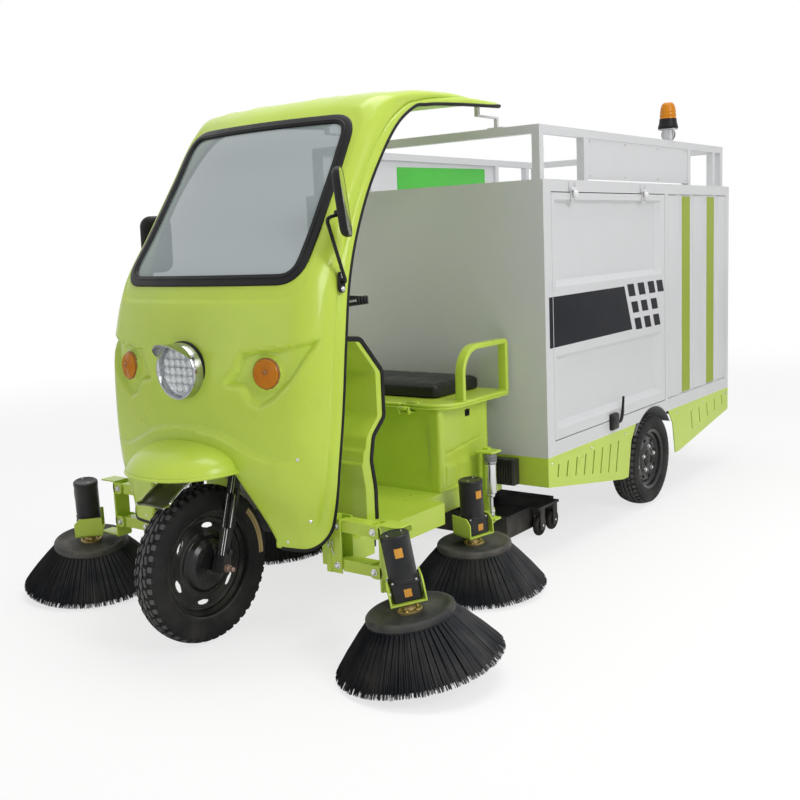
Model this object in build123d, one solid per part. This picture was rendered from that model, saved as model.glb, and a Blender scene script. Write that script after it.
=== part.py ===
from build123d import *
from math import cos, radians, sin, sqrt, tan
import os

os.makedirs("parts", exist_ok=True)

# Ride-on leaf sweeper, in millimetres. It faces -Y, its left side is +X and the ground is Z = 0.
# Places along the machine are measured from the front wall of the load box: "ahead" is towards -Y.

# ---- driving dimensions: load box --------------------------------------------------------------
box_length = 2350
box_width = 1372
box_bottom = 482
box_top = 1725
box_wall = 30
floor_thickness = 40

# ---- driving dimensions: wheels ----------------------------------------------------------------
front_axle_ahead = 1474
rear_axle_behind = 1175
front_tyre_radius = 302
front_tyre_width = 110
front_rim_radius = 212
rear_tyre_radius = 250
rear_tyre_width = 145
rear_rim_radius = 160
rear_wheel_x = 615
steering_rake = 17
fork_offset = 30

# ---- driving dimensions: cab -------------------------------------------------------------------
cab_half_width = 550
cab_wall = 6
roof_rear_ahead = 60
deck_top = 410
deck_depth = 90
deck_half_width = 550
deck_narrow_half = 450
deck_front_ahead = 1035
deck_step_ahead = 640
deck_rear_ahead = 20
sheet = 4

# ---- driving dimensions: brushes ---------------------------------------------------------------
brush_tip_radius = 300
brush_disc_radius = 158
brush_height = 190
brush_ground_gap = 5
motor_radius = 45
front_brush_x = 895
front_brush_ahead = 1318
front_brush_inward_lean = 7
front_brush_forward_lean = 6
mid_brush_x = 585
mid_brush_ahead = 470
mid_brush_forward_lean = 3

# ---- clearances --------------------------------------------------------------------------------
seat_gap = 0.3          # between a piece and what carries it
pin_gap = 0.05          # radial, pin in its hole
door_gap = 4            # round a door in its opening

rear_hinge_reach = 30
overall_length = front_axle_ahead + front_tyre_radius + box_length + rear_hinge_reach
box_front = front_axle_ahead + front_tyre_radius - overall_length / 2
box_half = box_width / 2
box_rear = box_front + box_length
front_axle_y = box_front - front_axle_ahead
rear_axle_y = box_front + rear_axle_behind


def ahead(distance):
    """Y of a place that lies this far ahead of the load box's front wall."""
    return box_front - distance


def behind(distance):
    """Y of a place that lies this far behind the load box's front wall."""
    return box_front + distance


def block(x, y, z):
    """Box from three (low, high) pairs."""
    size = [high - low for low, high in (x, y, z)]
    centre = [(low + high) / 2 for low, high in (x, y, z)]
    return Pos(*centre) * Box(*size)


def bar_x(centre, radius, length):
    return Pos(*centre) * Rot(0, 90, 0) * Cylinder(radius, length)


def bar_y(centre, radius, length):
    return Pos(*centre) * Rot(90, 0, 0) * Cylinder(radius, length)


def bar_z(centre, radius, length):
    return Pos(*centre) * Cylinder(radius, length)


def side_plate(points, x_low, x_high):
    """Plate cut to a (Y, Z) outline and lying between two X values."""
    outline = make_face(Polyline(*points, close=True))
    plate = Plane.YZ * outline
    return Pos(x_low, 0, 0) * extrude(plate, x_high - x_low, dir=(1, 0, 0))


def front_plate(points, y_low, y_high):
    """Plate cut to an (X, Z) outline and lying between two Y values."""
    outline = make_face(Polyline(*points, close=True))
    plate = Plane.XZ * outline
    return Pos(0, y_low, 0) * extrude(plate, y_high - y_low, dir=(0, 1, 0))


def both_sides(piece):
    """A piece and its mirror image on the other side of the machine."""
    return [piece, mirror(piece, Plane.YZ)]


def pipe(points, radius, bend):
    """Round tube along straight runs joined by tangent arcs."""
    path = FilletPolyline(*points, radius=bend)
    start = path @ 0
    section = Plane(origin=start, z_dir=path % 0) * Circle(radius)
    return sweep(section, path=path)


def save(name, *solids):
    """Write one node's solids; loose pieces stay separate solids."""
    shape = solids[0] if len(solids) == 1 else Compound(children=list(solids))
    export_step(shape, f"parts/{name}.step")


# ================================================================================================
# Chassis
# ================================================================================================
rail_x = 300
rail_width = 50
rail_height = 80
rail_top = deck_top - sheet
rail_bottom = rail_top - rail_height
rail_front = ahead(deck_front_ahead) - 5
rail_rear_inset = 40
cross_beam_depth = 60
cross_beam_half = 500
neck_half = 30
neck_top = 800
neck_depth = 60
bearer_depth = 60
bearer_half = box_half - 60
bearer_places = (60, 560, 1700, 2230)

stem_radius = 18
head_tube_radius = 28
head_tube_low = 425
head_tube_high = 600

steering_frame = Plane(
    origin=(0, front_axle_y, front_tyre_radius),
    x_dir=(1, 0, 0),
    z_dir=(0, sin(radians(steering_rake)), cos(radians(steering_rake))),
)


def on_steering(x, y, z):
    """Place in the steering's own frame: z up the stem from the wheel's centre, y to the rear."""
    return steering_frame * Pos(x, y, z)


def make_chassis_frame():
    beam_y = (rail_front - cross_beam_depth, rail_front)
    frame = block((-cross_beam_half, cross_beam_half), beam_y, (rail_bottom, rail_top))
    for side in (-1, 1):
        rail_span = (side * rail_x - rail_width / 2, side * rail_x + rail_width / 2)
        frame += block(rail_span, (rail_front - 1, box_rear - rail_rear_inset), (rail_bottom, rail_top))
    for place in bearer_places:
        span = (behind(place), behind(place) + bearer_depth)
        frame += block((-bearer_half, bearer_half), span, (rail_top, box_bottom))
    frame += block((-neck_half, neck_half), beam_y, (rail_bottom, neck_top))
    head_middle = (head_tube_low + head_tube_high) / 2
    head_tube = Cylinder(head_tube_radius, head_tube_high - head_tube_low)
    head_tube = on_steering(0, fork_offset, head_middle) * head_tube
    head_y = front_axle_y + head_middle * sin(radians(steering_rake)) + fork_offset
    frame += block((-neck_half, neck_half), (head_y, rail_front), (neck_top - neck_depth, neck_top))
    frame += head_tube + make_cab_mount(head_y)
    bore = on_steering(0, fork_offset, head_middle) * Cylinder(stem_radius + pin_gap, 2 * head_tube_high)
    return frame - bore


def make_floor_deck():
    low = deck_top - deck_depth
    wide_y = (ahead(deck_front_ahead), ahead(deck_step_ahead))
    narrow_y = (ahead(deck_step_ahead), ahead(deck_rear_ahead))
    wide = block((-deck_half_width, deck_half_width), wide_y, (low, deck_top))
    wide -= block(
        (-deck_half_width + sheet, deck_half_width - sheet),
        (wide_y[0] - 1, wide_y[1] + 1),
        (low - 1, deck_top - sheet),
    )
    narrow = block((-deck_narrow_half, deck_narrow_half), narrow_y, (low, deck_top))
    narrow -= block(
        (-deck_narrow_half + sheet, deck_narrow_half - sheet),
        (narrow_y[0] - 1, narrow_y[1] + 1),
        (low - 1, deck_top - sheet),
    )
    return wide + narrow


save("floor_deck", make_floor_deck())

# ================================================================================================
# Cab
# ================================================================================================
# Level sections of the cab's outer skin. The front is an arc bowed by "bow" between its corners,
# and each corner is rounded. "drop" is 1 where the skin is so flat that its wall is measured down.
# columns: height, front ahead of the load box, bow, half width, corner radius, drop
cab_sections = (
    (430, 1440, 40, cab_half_width - 5, 130, 0),
    (640, 1488, 50, cab_half_width, 130, 0),
    (880, 1503, 55, cab_half_width, 130, 0),
    (1150, 1478, 55, cab_half_width, 125, 0),
    (1350, 1418, 55, cab_half_width - 12, 120, 0),
    (1950, 1020, 60, cab_half_width - 45, 110, 1),
    (2020, 930, 60, cab_half_width - 50, 110, 1),
    (2060, 760, 60, cab_half_width - 85, 110, 1),
    (2082, 480, 60, cab_half_width - 160, 110, 1),
)


def cab_section(height, front, bow, half_width, corner, inset, rear):
    front_y = ahead(front) + inset
    side_x = half_width - inset
    rear_y = ahead(rear)
    outline = [
        ThreePointArc((-side_x, front_y + bow), (0, front_y), (side_x, front_y + bow)),
        Line((side_x, front_y + bow), (side_x, rear_y)),
        Line((side_x, rear_y), (-side_x, rear_y)),
        Line((-side_x, rear_y), (-side_x, front_y + bow)),
    ]
    face = make_face(outline)
    front_corners = face.vertices().sort_by(Axis.Y)[0:2]
    return Pos(0, 0, height) * fillet(front_corners, corner - inset)


def cab_block(inset, rear):
    """Solid cab shape, made of ruled walls from each level section to the next."""
    sections = [
        cab_section(height - drop * inset, front, bow, half, corner, inset, rear)
        for height, front, bow, half, corner, drop in cab_sections
    ]
    return loft(sections, ruled=True)


# Side opening: the edge runs down from the roof's rear tip, along the pillar and down the cowl.
# columns: distance ahead of the load box, height
side_opening = (
    (roof_rear_ahead - 40, 2050),
    (353, 2032),
    (641, 2008),
    (764, 1963),
    (879, 1857),
    (979, 1745),
    (1079, 1583),
    (1167, 1407),
    (1224, 1179),
    (1259, 932),
    (1284, 755),
    (1312, 626),
    (1335, 430),
)

screen_bottom = 1376
screen_top = 1932
screen_bottom_half = 447
screen_top_half = 412
screen_corner = 60
arch_top = 715
arch_shoulder = 445
arch_top_half = 190
arch_bottom_half = 415


def screen_cutter(shrink):
    half_low = screen_bottom_half - shrink
    half_high = screen_top_half - shrink
    low = screen_bottom + shrink
    high = screen_top - shrink
    corners = [(-half_low, low), (half_low, low), (half_high, high), (-half_high, high)]
    outline = make_face(Polyline(*corners, close=True))
    outline = fillet(outline.vertices(), screen_corner)
    return Pos(0, ahead(1600), 0) * extrude(Plane.XZ * outline, 800, dir=(0, 1, 0))


def make_cab_skin():
    outer = cab_block(0, roof_rear_ahead)
    inner = cab_block(cab_wall, roof_rear_ahead - 50)
    skin = outer - inner
    far_rear = ahead(roof_rear_ahead - 60)
    opening = [(ahead(place), height) for place, height in side_opening]
    opening += [(opening[-1][0], 0), (far_rear, 0), (far_rear, opening[0][1])]
    skin -= side_plate(opening, -cab_half_width - 50, cab_half_width + 50)
    arch = [
        (-arch_bottom_half, 0),
        (arch_bottom_half, 0),
        (arch_bottom_half, arch_shoulder),
        (arch_top_half, arch_top),
        (-arch_top_half, arch_top),
        (-arch_bottom_half, arch_shoulder),
    ]
    skin -= front_plate(arch, ahead(1600), ahead(1300))
    return skin


cab_mount_half = 60
cab_mount_low = 752
cab_mount_thickness = 14


def make_cab_mount(head_y):
    """Tongue on the steering head that carries the cowl, cut to the cowl's inner face."""
    tongue = block(
        (-cab_mount_half, cab_mount_half),
        (ahead(1560), head_y - stem_radius),
        (cab_mount_low, cab_mount_low + cab_mount_thickness),
    )
    return tongue & cab_block(cab_wall + seat_gap, roof_rear_ahead)


save("chassis_frame", make_chassis_frame())

cab_skin = make_cab_skin()
save("cab_shell", cab_skin - screen_cutter(0))
save("windscreen", cab_skin & screen_cutter(seat_gap))

lamp_height = 1040
headlight_radius = 93
headlight_depth = 44
headlight_stand_out = 28
peak_stand_out = 60
peak_thickness = 4
peak_half = 70


def cowl_front_y(height, x):
    """Y of the cowl's outer skin at a height and a distance from the middle."""
    for low, high in zip(cab_sections, cab_sections[1:]):
        if low[0] <= height <= high[0]:
            share = (height - low[0]) / (high[0] - low[0])
            front = low[1] + share * (high[1] - low[1])
            bow = low[2] + share * (high[2] - low[2])
            return ahead(front) + bow * (x / cab_half_width) ** 2
    raise ValueError("height is off the cab")


def make_headlight():
    face_y = cowl_front_y(lamp_height, 0)
    bezel = bar_y((0, face_y - headlight_stand_out, lamp_height), headlight_radius, headlight_depth)
    bezel -= cab_block(0, roof_rear_ahead)
    peak_centre = (0, face_y - peak_stand_out, lamp_height)
    peak = bar_y(peak_centre, headlight_radius, headlight_depth)
    peak -= bar_y(peak_centre, headlight_radius - peak_thickness, 2 * headlight_depth)
    upper_part = block(
        (-peak_half, peak_half),
        (face_y - peak_stand_out - headlight_depth, face_y),
        (lamp_height + headlight_radius / 2, lamp_height + 2 * headlight_radius),
    )
    return bezel + (peak & upper_part)


save("headlight", make_headlight())

turn_signal_x = 371
turn_signal_height = 1043
turn_signal_radius = 52
turn_signal_depth = 60


def make_turn_signal():
    face_y = cowl_front_y(turn_signal_height, turn_signal_x)
    lamp = bar_y((turn_signal_x, face_y - 10, turn_signal_height), turn_signal_radius, turn_signal_depth)
    return lamp - cab_block(0, roof_rear_ahead)


save("turn_signals", *both_sides(make_turn_signal()))

# Nose fairing: a short mudguard-like hood on the cowl above the wheel.
fairing_radius = 304
fairing_wall = 5
fairing_half_width = 243
fairing_crown = 786
fairing_rim = 684
fairing_reach = 1725


def make_nose_fairing():
    centre = (0, ahead(1498), fairing_crown - fairing_radius)
    hood = bar_x(centre, fairing_radius, 2 * fairing_half_width)
    hood -= bar_x(centre, fairing_radius - fairing_wall, 3 * fairing_half_width)
    hood &= block(
        (-fairing_half_width, fairing_half_width),
        (ahead(fairing_reach), ahead(1440)),
        (fairing_rim, fairing_crown + 1),
    )
    return hood - cab_block(0, roof_rear_ahead)


save("nose_fairing", make_nose_fairing())

shield_half = 450
shield_wall = 5
# Rider's leg shield, from its top rim down to the deck: distance ahead, height.
shield_edge = (
    (1090, 1135),
    (1014, 1127),
    (888, 990),
    (888, 809),
    (960, 743),
    (980, 652),
    (960, 540),
    (960, deck_top),
)
shield_front_top = 1190
shield_front_bottom = 1030
shield_front_bend = 640


def make_leg_shield():
    rear = [(ahead(place), height) for place, height in shield_edge]
    shield_top = rear[0][1]
    front = [
        (ahead(shield_front_bottom), deck_top),
        (ahead(shield_front_top), shield_front_bend),
        (ahead(shield_front_top), shield_top),
    ]
    panel = side_plate(rear + front, -shield_half, shield_half)
    hollow = [(y - shield_wall, z) for y, z in rear]
    hollow[0] = (hollow[0][0], shield_top + 10)
    hollow[-1] = (hollow[-1][0], deck_top - 1)
    hollow += [(ahead(shield_front_top + 50), deck_top - 1), (ahead(shield_front_top + 50), shield_top + 10)]
    return panel - side_plate(hollow, -shield_half + shield_wall, shield_half - shield_wall)


save("leg_shield", make_leg_shield())

# Mirrors on bent arms at the pillars, their glass turned out and back.
left_mirror = (603, ahead(1273), 1625)
right_mirror = (603, ahead(1083), 1540)
mirror_foot_height = 1350
mirror_arm_radius = 7
mirror_size = (130, 30, 240)
mirror_corner = 45
mirror_turn = 58         # of the glass, from facing the rear towards facing outwards
mirror_lean = 6          # of the top, away from the glass


def make_mirror(centre, elbow_y, elbow_rise):
    root_y = ahead(1235)
    arm = pipe(
        [
            (cab_half_width - 4, root_y, mirror_foot_height),
            (cab_half_width + 24, root_y, mirror_foot_height),
            (cab_half_width + 22, elbow_y, mirror_foot_height + elbow_rise),
            (centre[0] + 7, centre[1] + 3, centre[2] - 35),
        ],
        mirror_arm_radius,
        18,
    )
    foot = block(
        (cab_half_width - 12, cab_half_width + 8),
        (root_y - 15, root_y + 15),
        (mirror_foot_height - 38, mirror_foot_height + 36),
    )
    head = Box(*mirror_size)
    head = fillet(head.edges().filter_by(Axis.Y), mirror_corner)
    head = Pos(*centre) * Rot(0, 0, -mirror_turn) * Rot(mirror_lean, 0, 0) * head
    return (arm + foot + head) - cab_block(0, roof_rear_ahead)


save(
    "mirrors",
    make_mirror(left_mirror, ahead(1321), 222),
    mirror(make_mirror(right_mirror, ahead(1150), 142), Plane.YZ),
)

# ================================================================================================
# Seat
# ================================================================================================
seat_box_half = 450
seat_box_front = 512
seat_box_rear = 138
seat_box_top = 771
seat_plate_half = 510
seat_plate_front = 545
seat_plate_rear = 30
seat_plate_thickness = 25
cushion_half = 375
cushion_front = 418
cushion_rear = 38
cushion_thickness = 60
cushion_corner = 30
seat_hinge_ahead = seat_plate_front + 12
seat_hinge_z = seat_box_top + 4
seat_hinge_x = 300
seat_pin_radius = 5
seat_knuckle_half = 17
seat_notch_half = 32


def make_seat_box():
    outer = block(
        (-seat_box_half, seat_box_half),
        (ahead(seat_box_front), ahead(seat_box_rear)),
        (deck_top, seat_box_top),
    )
    inner = block(
        (-seat_box_half + sheet, seat_box_half - sheet),
        (ahead(seat_box_front - sheet), ahead(seat_box_rear + sheet)),
        (deck_top + sheet, seat_box_top + 1),
    )
    box = outer - inner
    hinge_y = ahead(seat_hinge_ahead)
    ear_y = (hinge_y - 9, hinge_y + 9)
    ear_z = (seat_hinge_z - 24, seat_hinge_z + 8)
    for x in (-seat_hinge_x, seat_hinge_x):
        box += block((x - 30, x + 30), (hinge_y - 3, ahead(seat_box_front)), (ear_z[0], seat_hinge_z - 12))
        box += bar_x((x, hinge_y, seat_hinge_z), seat_pin_radius, 60)
        box += block((x - 30, x - 20), ear_y, ear_z)
        box += block((x + 20, x + 30), ear_y, ear_z)
    return box


save("seat_box", make_seat_box())


def make_seat_plate():
    low = seat_box_top + seat_gap
    high = low + seat_plate_thickness
    hinge_y = ahead(seat_hinge_ahead)
    notch_rear = hinge_y + 22
    plate = block(
        (-seat_plate_half, seat_plate_half),
        (ahead(seat_plate_front), ahead(seat_plate_rear)),
        (low, high),
    )
    for x in (-seat_hinge_x, seat_hinge_x):
        plate -= block(
            (x - seat_notch_half, x + seat_notch_half),
            (ahead(seat_plate_front) - 1, notch_rear),
            (low - 1, high + 1),
        )
        knuckle_x = (x - seat_knuckle_half, x + seat_knuckle_half)
        knuckle = bar_x((x, hinge_y, seat_hinge_z), 10, 2 * seat_knuckle_half)
        knuckle += block(knuckle_x, (hinge_y, notch_rear + 4), (low, low + 8))
        plate += knuckle - bar_x((x, hinge_y, seat_hinge_z), seat_pin_radius + pin_gap, 80)
    return plate


save("seat_plate", make_seat_plate())


def make_cushion():
    low = seat_box_top + 2 * seat_gap + seat_plate_thickness
    pad = block(
        (-cushion_half, cushion_half),
        (ahead(cushion_front), ahead(cushion_rear)),
        (low, low + cushion_thickness),
    )
    return fillet(pad.edges().filter_by(Axis.Z), cushion_corner)


save("seat_cushion", make_cushion())

armrest_x = 489
armrest_front = 410
armrest_rear = 34
armrest_top = 1030
armrest_width = 42
armrest_tube = 24
armrest_slope = 75


def make_armrest():
    foot = seat_box_top + seat_gap + seat_plate_thickness
    outer = [
        (ahead(armrest_front), foot),
        (ahead(armrest_rear), foot),
        (ahead(armrest_rear), armrest_top),
        (ahead(armrest_front - armrest_slope), armrest_top),
        (ahead(armrest_front), armrest_top - armrest_slope),
    ]
    inner = [
        (ahead(armrest_front - armrest_tube), foot - 1),
        (ahead(armrest_rear + armrest_tube), foot - 1),
        (ahead(armrest_rear + armrest_tube), armrest_top - armrest_tube),
        (ahead(armrest_front - armrest_slope - 9), armrest_top - armrest_tube),
        (ahead(armrest_front - armrest_tube), armrest_top - armrest_slope - 9),
    ]
    low_x = armrest_x - armrest_width / 2
    high_x = armrest_x + armrest_width / 2
    loop = side_plate(outer, low_x, high_x) - side_plate(inner, low_x - 1, high_x + 1)
    return loop


save("armrests", *both_sides(make_armrest()))

# ================================================================================================
# Steering and front wheel
# ================================================================================================
fork_leg_x = 84
fork_leg_radius = 15
damper_x = 114
damper_radius = 12
damper_middle = 220
damper_length = 340
crown_low = 385
crown_high = 415
axle_radius = 9
axle_gap = 0.05
hub_half = 55
stem_high = 985
handlebar_radius = 12
# Half of the handlebar, from its grip to its clamp: distance out, back and up from the clamp.
handlebar_points = (
    (480, 154, 20),
    (240, 20, 40),
    (110, 0, 0),
)


def make_front_fork():
    stem = Cylinder(stem_radius, stem_high - crown_low)
    crown = Box(2 * (damper_x + 11), 76, crown_high - crown_low)
    fork = on_steering(0, fork_offset, (crown_low + stem_high) / 2) * stem
    fork += on_steering(0, fork_offset / 2, (crown_low + crown_high) / 2) * crown
    lug_x = (fork_leg_x + damper_x) / 2
    for side in (-1, 1):
        fork += on_steering(side * fork_leg_x, 0, crown_high / 2) * Cylinder(fork_leg_radius, crown_high)
        fork += on_steering(side * damper_x, 0, damper_middle) * Cylinder(damper_radius, damper_length)
        fork += on_steering(side * lug_x, 0, 0) * Box(54, 40, 44)
        fork += on_steering(side * lug_x, 0, 30) * Box(54, 34, 60)
    axle = bar_x((0, front_axle_y, front_tyre_radius), axle_radius, 2 * (damper_x + 14))
    return fork + axle


def make_handlebar():
    clamp = on_steering(0, fork_offset, stem_high + 18)
    centre = clamp.position
    right_half = [(-x, centre.Y + back, centre.Z + rise) for x, back, rise in handlebar_points]
    left_half = [(x, centre.Y + back, centre.Z + rise) for x, back, rise in reversed(handlebar_points)]
    return clamp * Box(90, 46, 36) + pipe(right_half + left_half, handlebar_radius, 40)


save("handlebar", make_handlebar())

fender_radius = 334
fender_sheet = 4
fender_half_width = 62


def make_front_fender():
    centre = (0, front_axle_y, front_tyre_radius)
    guard = bar_x(centre, fender_radius, 2 * fender_half_width)
    guard -= bar_x(centre, fender_radius - fender_sheet, 3 * fender_half_width)
    wedge = side_plate(
        [
            (centre[1], centre[2]),
            (centre[1] - 420, centre[2] + 220),
            (centre[1] - 420, centre[2] + 600),
            (centre[1] + 300, centre[2] + 600),
        ],
        -fender_half_width,
        fender_half_width,
    )
    guard &= wedge
    stay = Box(60, 40, crown_low - fender_radius + 6)
    stay = on_steering(0, fork_offset / 2, (fender_radius + crown_low) / 2) * stay
    return guard + (stay - bar_x(centre, fender_radius - fender_sheet / 2, 200))


front_fork = make_front_fork()
save("front_fork", front_fork)
save("front_fender", make_front_fender() - front_fork)


rim_sheet = 8


def tyre(centre, radius, width, rim_radius, crown):
    """Tyre as a ring with rounded shoulders."""
    ring = Cylinder(radius, width)
    ring = fillet(ring.edges(), crown)
    ring -= Cylinder(rim_radius, width + 2)
    return Pos(*centre) * Rot(0, 90, 0) * ring


def rim(centre, radius, width, hub_radius, hub_width, bore, disc_offset, side):
    """Steel wheel: barrel, pressed disc and hub."""
    barrel = Cylinder(radius, width) - Cylinder(radius - rim_sheet, width + 2)
    disc = Pos(0, 0, disc_offset) * Cylinder(radius - rim_sheet / 2, rim_sheet)
    hub = Cylinder(hub_radius, hub_width)
    wheel = barrel + disc + hub - Cylinder(bore, hub_width + 2)
    return Pos(*centre) * Rot(0, side * 90, 0) * wheel


front_centre = (0, front_axle_y, front_tyre_radius)
front_tyre_crown = 34
front_rim_width = 86
front_hub_radius = 45
front_disc_offset = 8
front_tyre = tyre(front_centre, front_tyre_radius, front_tyre_width, front_rim_radius, front_tyre_crown)
save("front_tyre", front_tyre)
front_rim = rim(
    front_centre,
    front_rim_radius,
    front_rim_width,
    front_hub_radius,
    2 * hub_half,
    axle_radius + axle_gap,
    front_disc_offset,
    1,
)
save("front_rim", front_rim)

# ================================================================================================
# Rear axle and wheels
# ================================================================================================
axle_tube_radius = 38
stub_radius = 20
stub_reach = 50
spring_half_width = 25
spring_half_length = 380
shackle_half = 20
differential_x = 60
differential_radius = 110
drive_motor_radius = 75
drive_motor_length = 200
rear_tyre_crown = 30
rear_rim_width = 120
rear_hub_radius = 48
rear_disc_offset = 30


def make_rear_axle():
    z = rear_tyre_radius
    inner_x = rear_wheel_x - rear_tyre_width / 2 - 12
    axle = bar_x((0, rear_axle_y, z), axle_tube_radius, 2 * inner_x)
    axle += bar_x((0, rear_axle_y, z), stub_radius, 2 * (rear_wheel_x + stub_reach))
    axle += Pos(differential_x, rear_axle_y, z) * Sphere(differential_radius)
    axle += bar_y((differential_x, rear_axle_y + 170, z + 10), drive_motor_radius, drive_motor_length)
    for side in (-1, 1):
        x = side * rail_x
        axle += block(
            (x - spring_half_width, x + spring_half_width),
            (rear_axle_y - spring_half_length, rear_axle_y + spring_half_length),
            (z + 36, z + 54),
        )
        for end in (-1, 1):
            shackle_y = rear_axle_y + end * (spring_half_length - shackle_half)
            axle += block(
                (x - shackle_half, x + shackle_half),
                (shackle_y - shackle_half, shackle_y + shackle_half),
                (z + 40, rail_bottom),
            )
        axle += block((x - 32, x + 32), (rear_axle_y - 50, rear_axle_y + 50), (z - 44, z + 60))
    return axle


save("rear_axle", make_rear_axle())

for side, label in ((1, "left"), (-1, "right")):
    wheel_centre = (side * rear_wheel_x, rear_axle_y, rear_tyre_radius)
    rear_tyre = tyre(wheel_centre, rear_tyre_radius, rear_tyre_width, rear_rim_radius, rear_tyre_crown)
    save(f"rear_{label}_tyre", rear_tyre)
    rear_rim = rim(
        wheel_centre,
        rear_rim_radius,
        rear_rim_width,
        rear_hub_radius,
        2 * (stub_reach - 4),
        stub_radius + axle_gap,
        rear_disc_offset,
        side,
    )
    save(f"rear_{label}_rim", rear_rim)


battery_half = 390
battery_margin = 30
battery_height = 240


def make_battery_pack():
    y = (ahead(seat_box_front - battery_margin), ahead(seat_box_rear + battery_margin))
    return block((-battery_half, battery_half), y, (deck_top + sheet, deck_top + sheet + battery_height))


save("battery_pack", make_battery_pack())

# ================================================================================================
# Load box
# ================================================================================================
hood_half = 405
hood_front = 90
hood_rear = 560
hood_low = 40
hood_high = 150
hood_wall = 6
duct_half = 130
duct_front = 250
duct_rear = 470
caster_radius = 52
caster_x = 440
caster_places = (344, 473)
caster_gap = 2
caster_width = 26
caster_pin = 6
caster_cheek_low = 30
side_door_front = 70
side_door_rear = 1350
side_door_bottom = 548
side_door_top = 1672
panel_rear = 2290
arch_radius = rear_tyre_radius + 38
arch_sheet = 4
arch_width = 160
rear_door_bottom = 540
rear_door_top = 1680
rear_door_half = 620
rear_door_thickness = 30
panel_front = side_door_rear + 40


def make_cargo_box():
    outer = block((-box_half, box_half), (box_front, box_rear), (box_bottom, box_top))
    inner = block(
        (-box_half + box_wall, box_half - box_wall),
        (box_front + box_wall, box_rear - box_wall),
        (box_bottom + floor_thickness, box_top - box_wall),
    )
    body = outer - inner
    for opening in (
        (behind(side_door_front), behind(side_door_rear)),
        (behind(panel_front), behind(panel_rear)),
    ):
        body -= block((-box_half - 1, box_half + 1), opening, (side_door_bottom, side_door_top))
    body -= block(
        (-rear_door_half, rear_door_half),
        (box_rear - box_wall - 1, box_rear + 1),
        (rear_door_bottom, rear_door_top),
    )
    for side in (-1, 1):
        centre = (side * (box_half - arch_width / 2), rear_axle_y, rear_tyre_radius)
        body -= bar_x(centre, arch_radius + arch_sheet + seat_gap, arch_width + 2)
    duct_hole = block(
        (-duct_half + hood_wall, duct_half - hood_wall),
        (behind(duct_front + hood_wall), behind(duct_rear - hood_wall)),
        (box_bottom - 1, box_bottom + floor_thickness + 1),
    )
    return body - duct_hole


def make_wheel_arch():
    centre = (box_half - arch_width / 2, rear_axle_y, rear_tyre_radius)
    shell = bar_x(centre, arch_radius + arch_sheet, arch_width)
    shell -= bar_x((centre[0] + arch_sheet, centre[1], centre[2]), arch_radius, arch_width)
    keep = block((0, box_half), (rear_axle_y - 400, rear_axle_y + 400), (box_bottom - 60, box_bottom + 200))
    return shell & keep


save("wheel_arches", *both_sides(make_wheel_arch()))

side_hinge_places = (behind(274), behind(1060))
side_hinge_x = box_half + 9
side_hinge_z = side_door_top + 12
hinge_pin_radius = 4
side_knuckle_radius = 8
rear_knuckle_radius = 10
hinge_leaf = 5
door_frame = 40
recess_depth = 8
latch_place = 660
knuckle_length = 38
eye_length = 18
eye_offset = knuckle_length / 2 + eye_length / 2 + 1


def make_side_door():
    y = (behind(side_door_front) + door_gap, behind(side_door_rear) - door_gap)
    z = (side_door_bottom + door_gap, side_door_top - door_gap)
    leaf = block((box_half - box_wall, box_half), y, z)
    upper = (z[1] - door_frame - 390, z[1] - door_frame)
    lower = (z[0] + door_frame, z[0] + door_frame + 360)
    for recess in (upper, lower):
        leaf -= block((box_half - recess_depth, box_half + 1), (y[0] + door_frame, y[1] - door_frame), recess)
    latch_y = behind(latch_place)
    leaf += block((box_half - 1, box_half + 22), (latch_y - 28, latch_y + 28), (z[0], z[0] + 60))
    leaf += Pos(box_half + 16, latch_y + 45, z[0] + 75) * Rot(-30, 0, 0) * Box(12, 16, 130)
    for hinge_y in side_hinge_places:
        leaf += side_hinge_knuckle(hinge_y)
    return leaf


def side_hinge_knuckle(hinge_y):
    """Door's half of a side hinge: a knuckle and the strap down the leaf."""
    half = knuckle_length / 2
    span = (hinge_y - half, hinge_y + half)
    knuckle = bar_y((side_hinge_x, hinge_y, side_hinge_z), side_knuckle_radius, knuckle_length)
    knuckle += block((box_half + seat_gap, box_half + hinge_leaf), span, (side_hinge_z - 60, side_hinge_z))
    knuckle += block((box_half - 1, box_half + hinge_leaf), span, (side_hinge_z - 60, side_hinge_z - 24))
    return knuckle - bar_y((side_hinge_x, hinge_y, side_hinge_z), hinge_pin_radius + pin_gap, 60)


def side_hinge_base(hinge_y):
    """Box's half of a side hinge: the pin in two eyes."""
    base = bar_y((side_hinge_x, hinge_y, side_hinge_z), hinge_pin_radius, 2 * (eye_offset + eye_length / 2))
    for end in (-1, 1):
        eye_y = hinge_y + end * eye_offset
        span = (eye_y - eye_length / 2, eye_y + eye_length / 2)
        base += bar_y((side_hinge_x, eye_y, side_hinge_z), side_knuckle_radius, eye_length)
        base += block((box_half, box_half + hinge_leaf), span, (side_hinge_z, side_hinge_z + 30))
    return base


left_door = make_side_door()
save("left_side_door", left_door)
save("right_side_door", mirror(left_door, Plane.YZ))

rear_recess_half = 260
rear_hinge_places = (-450, 450)
rear_hinge_y = box_rear + 14
rear_hinge_z = rear_door_top + 12


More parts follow.
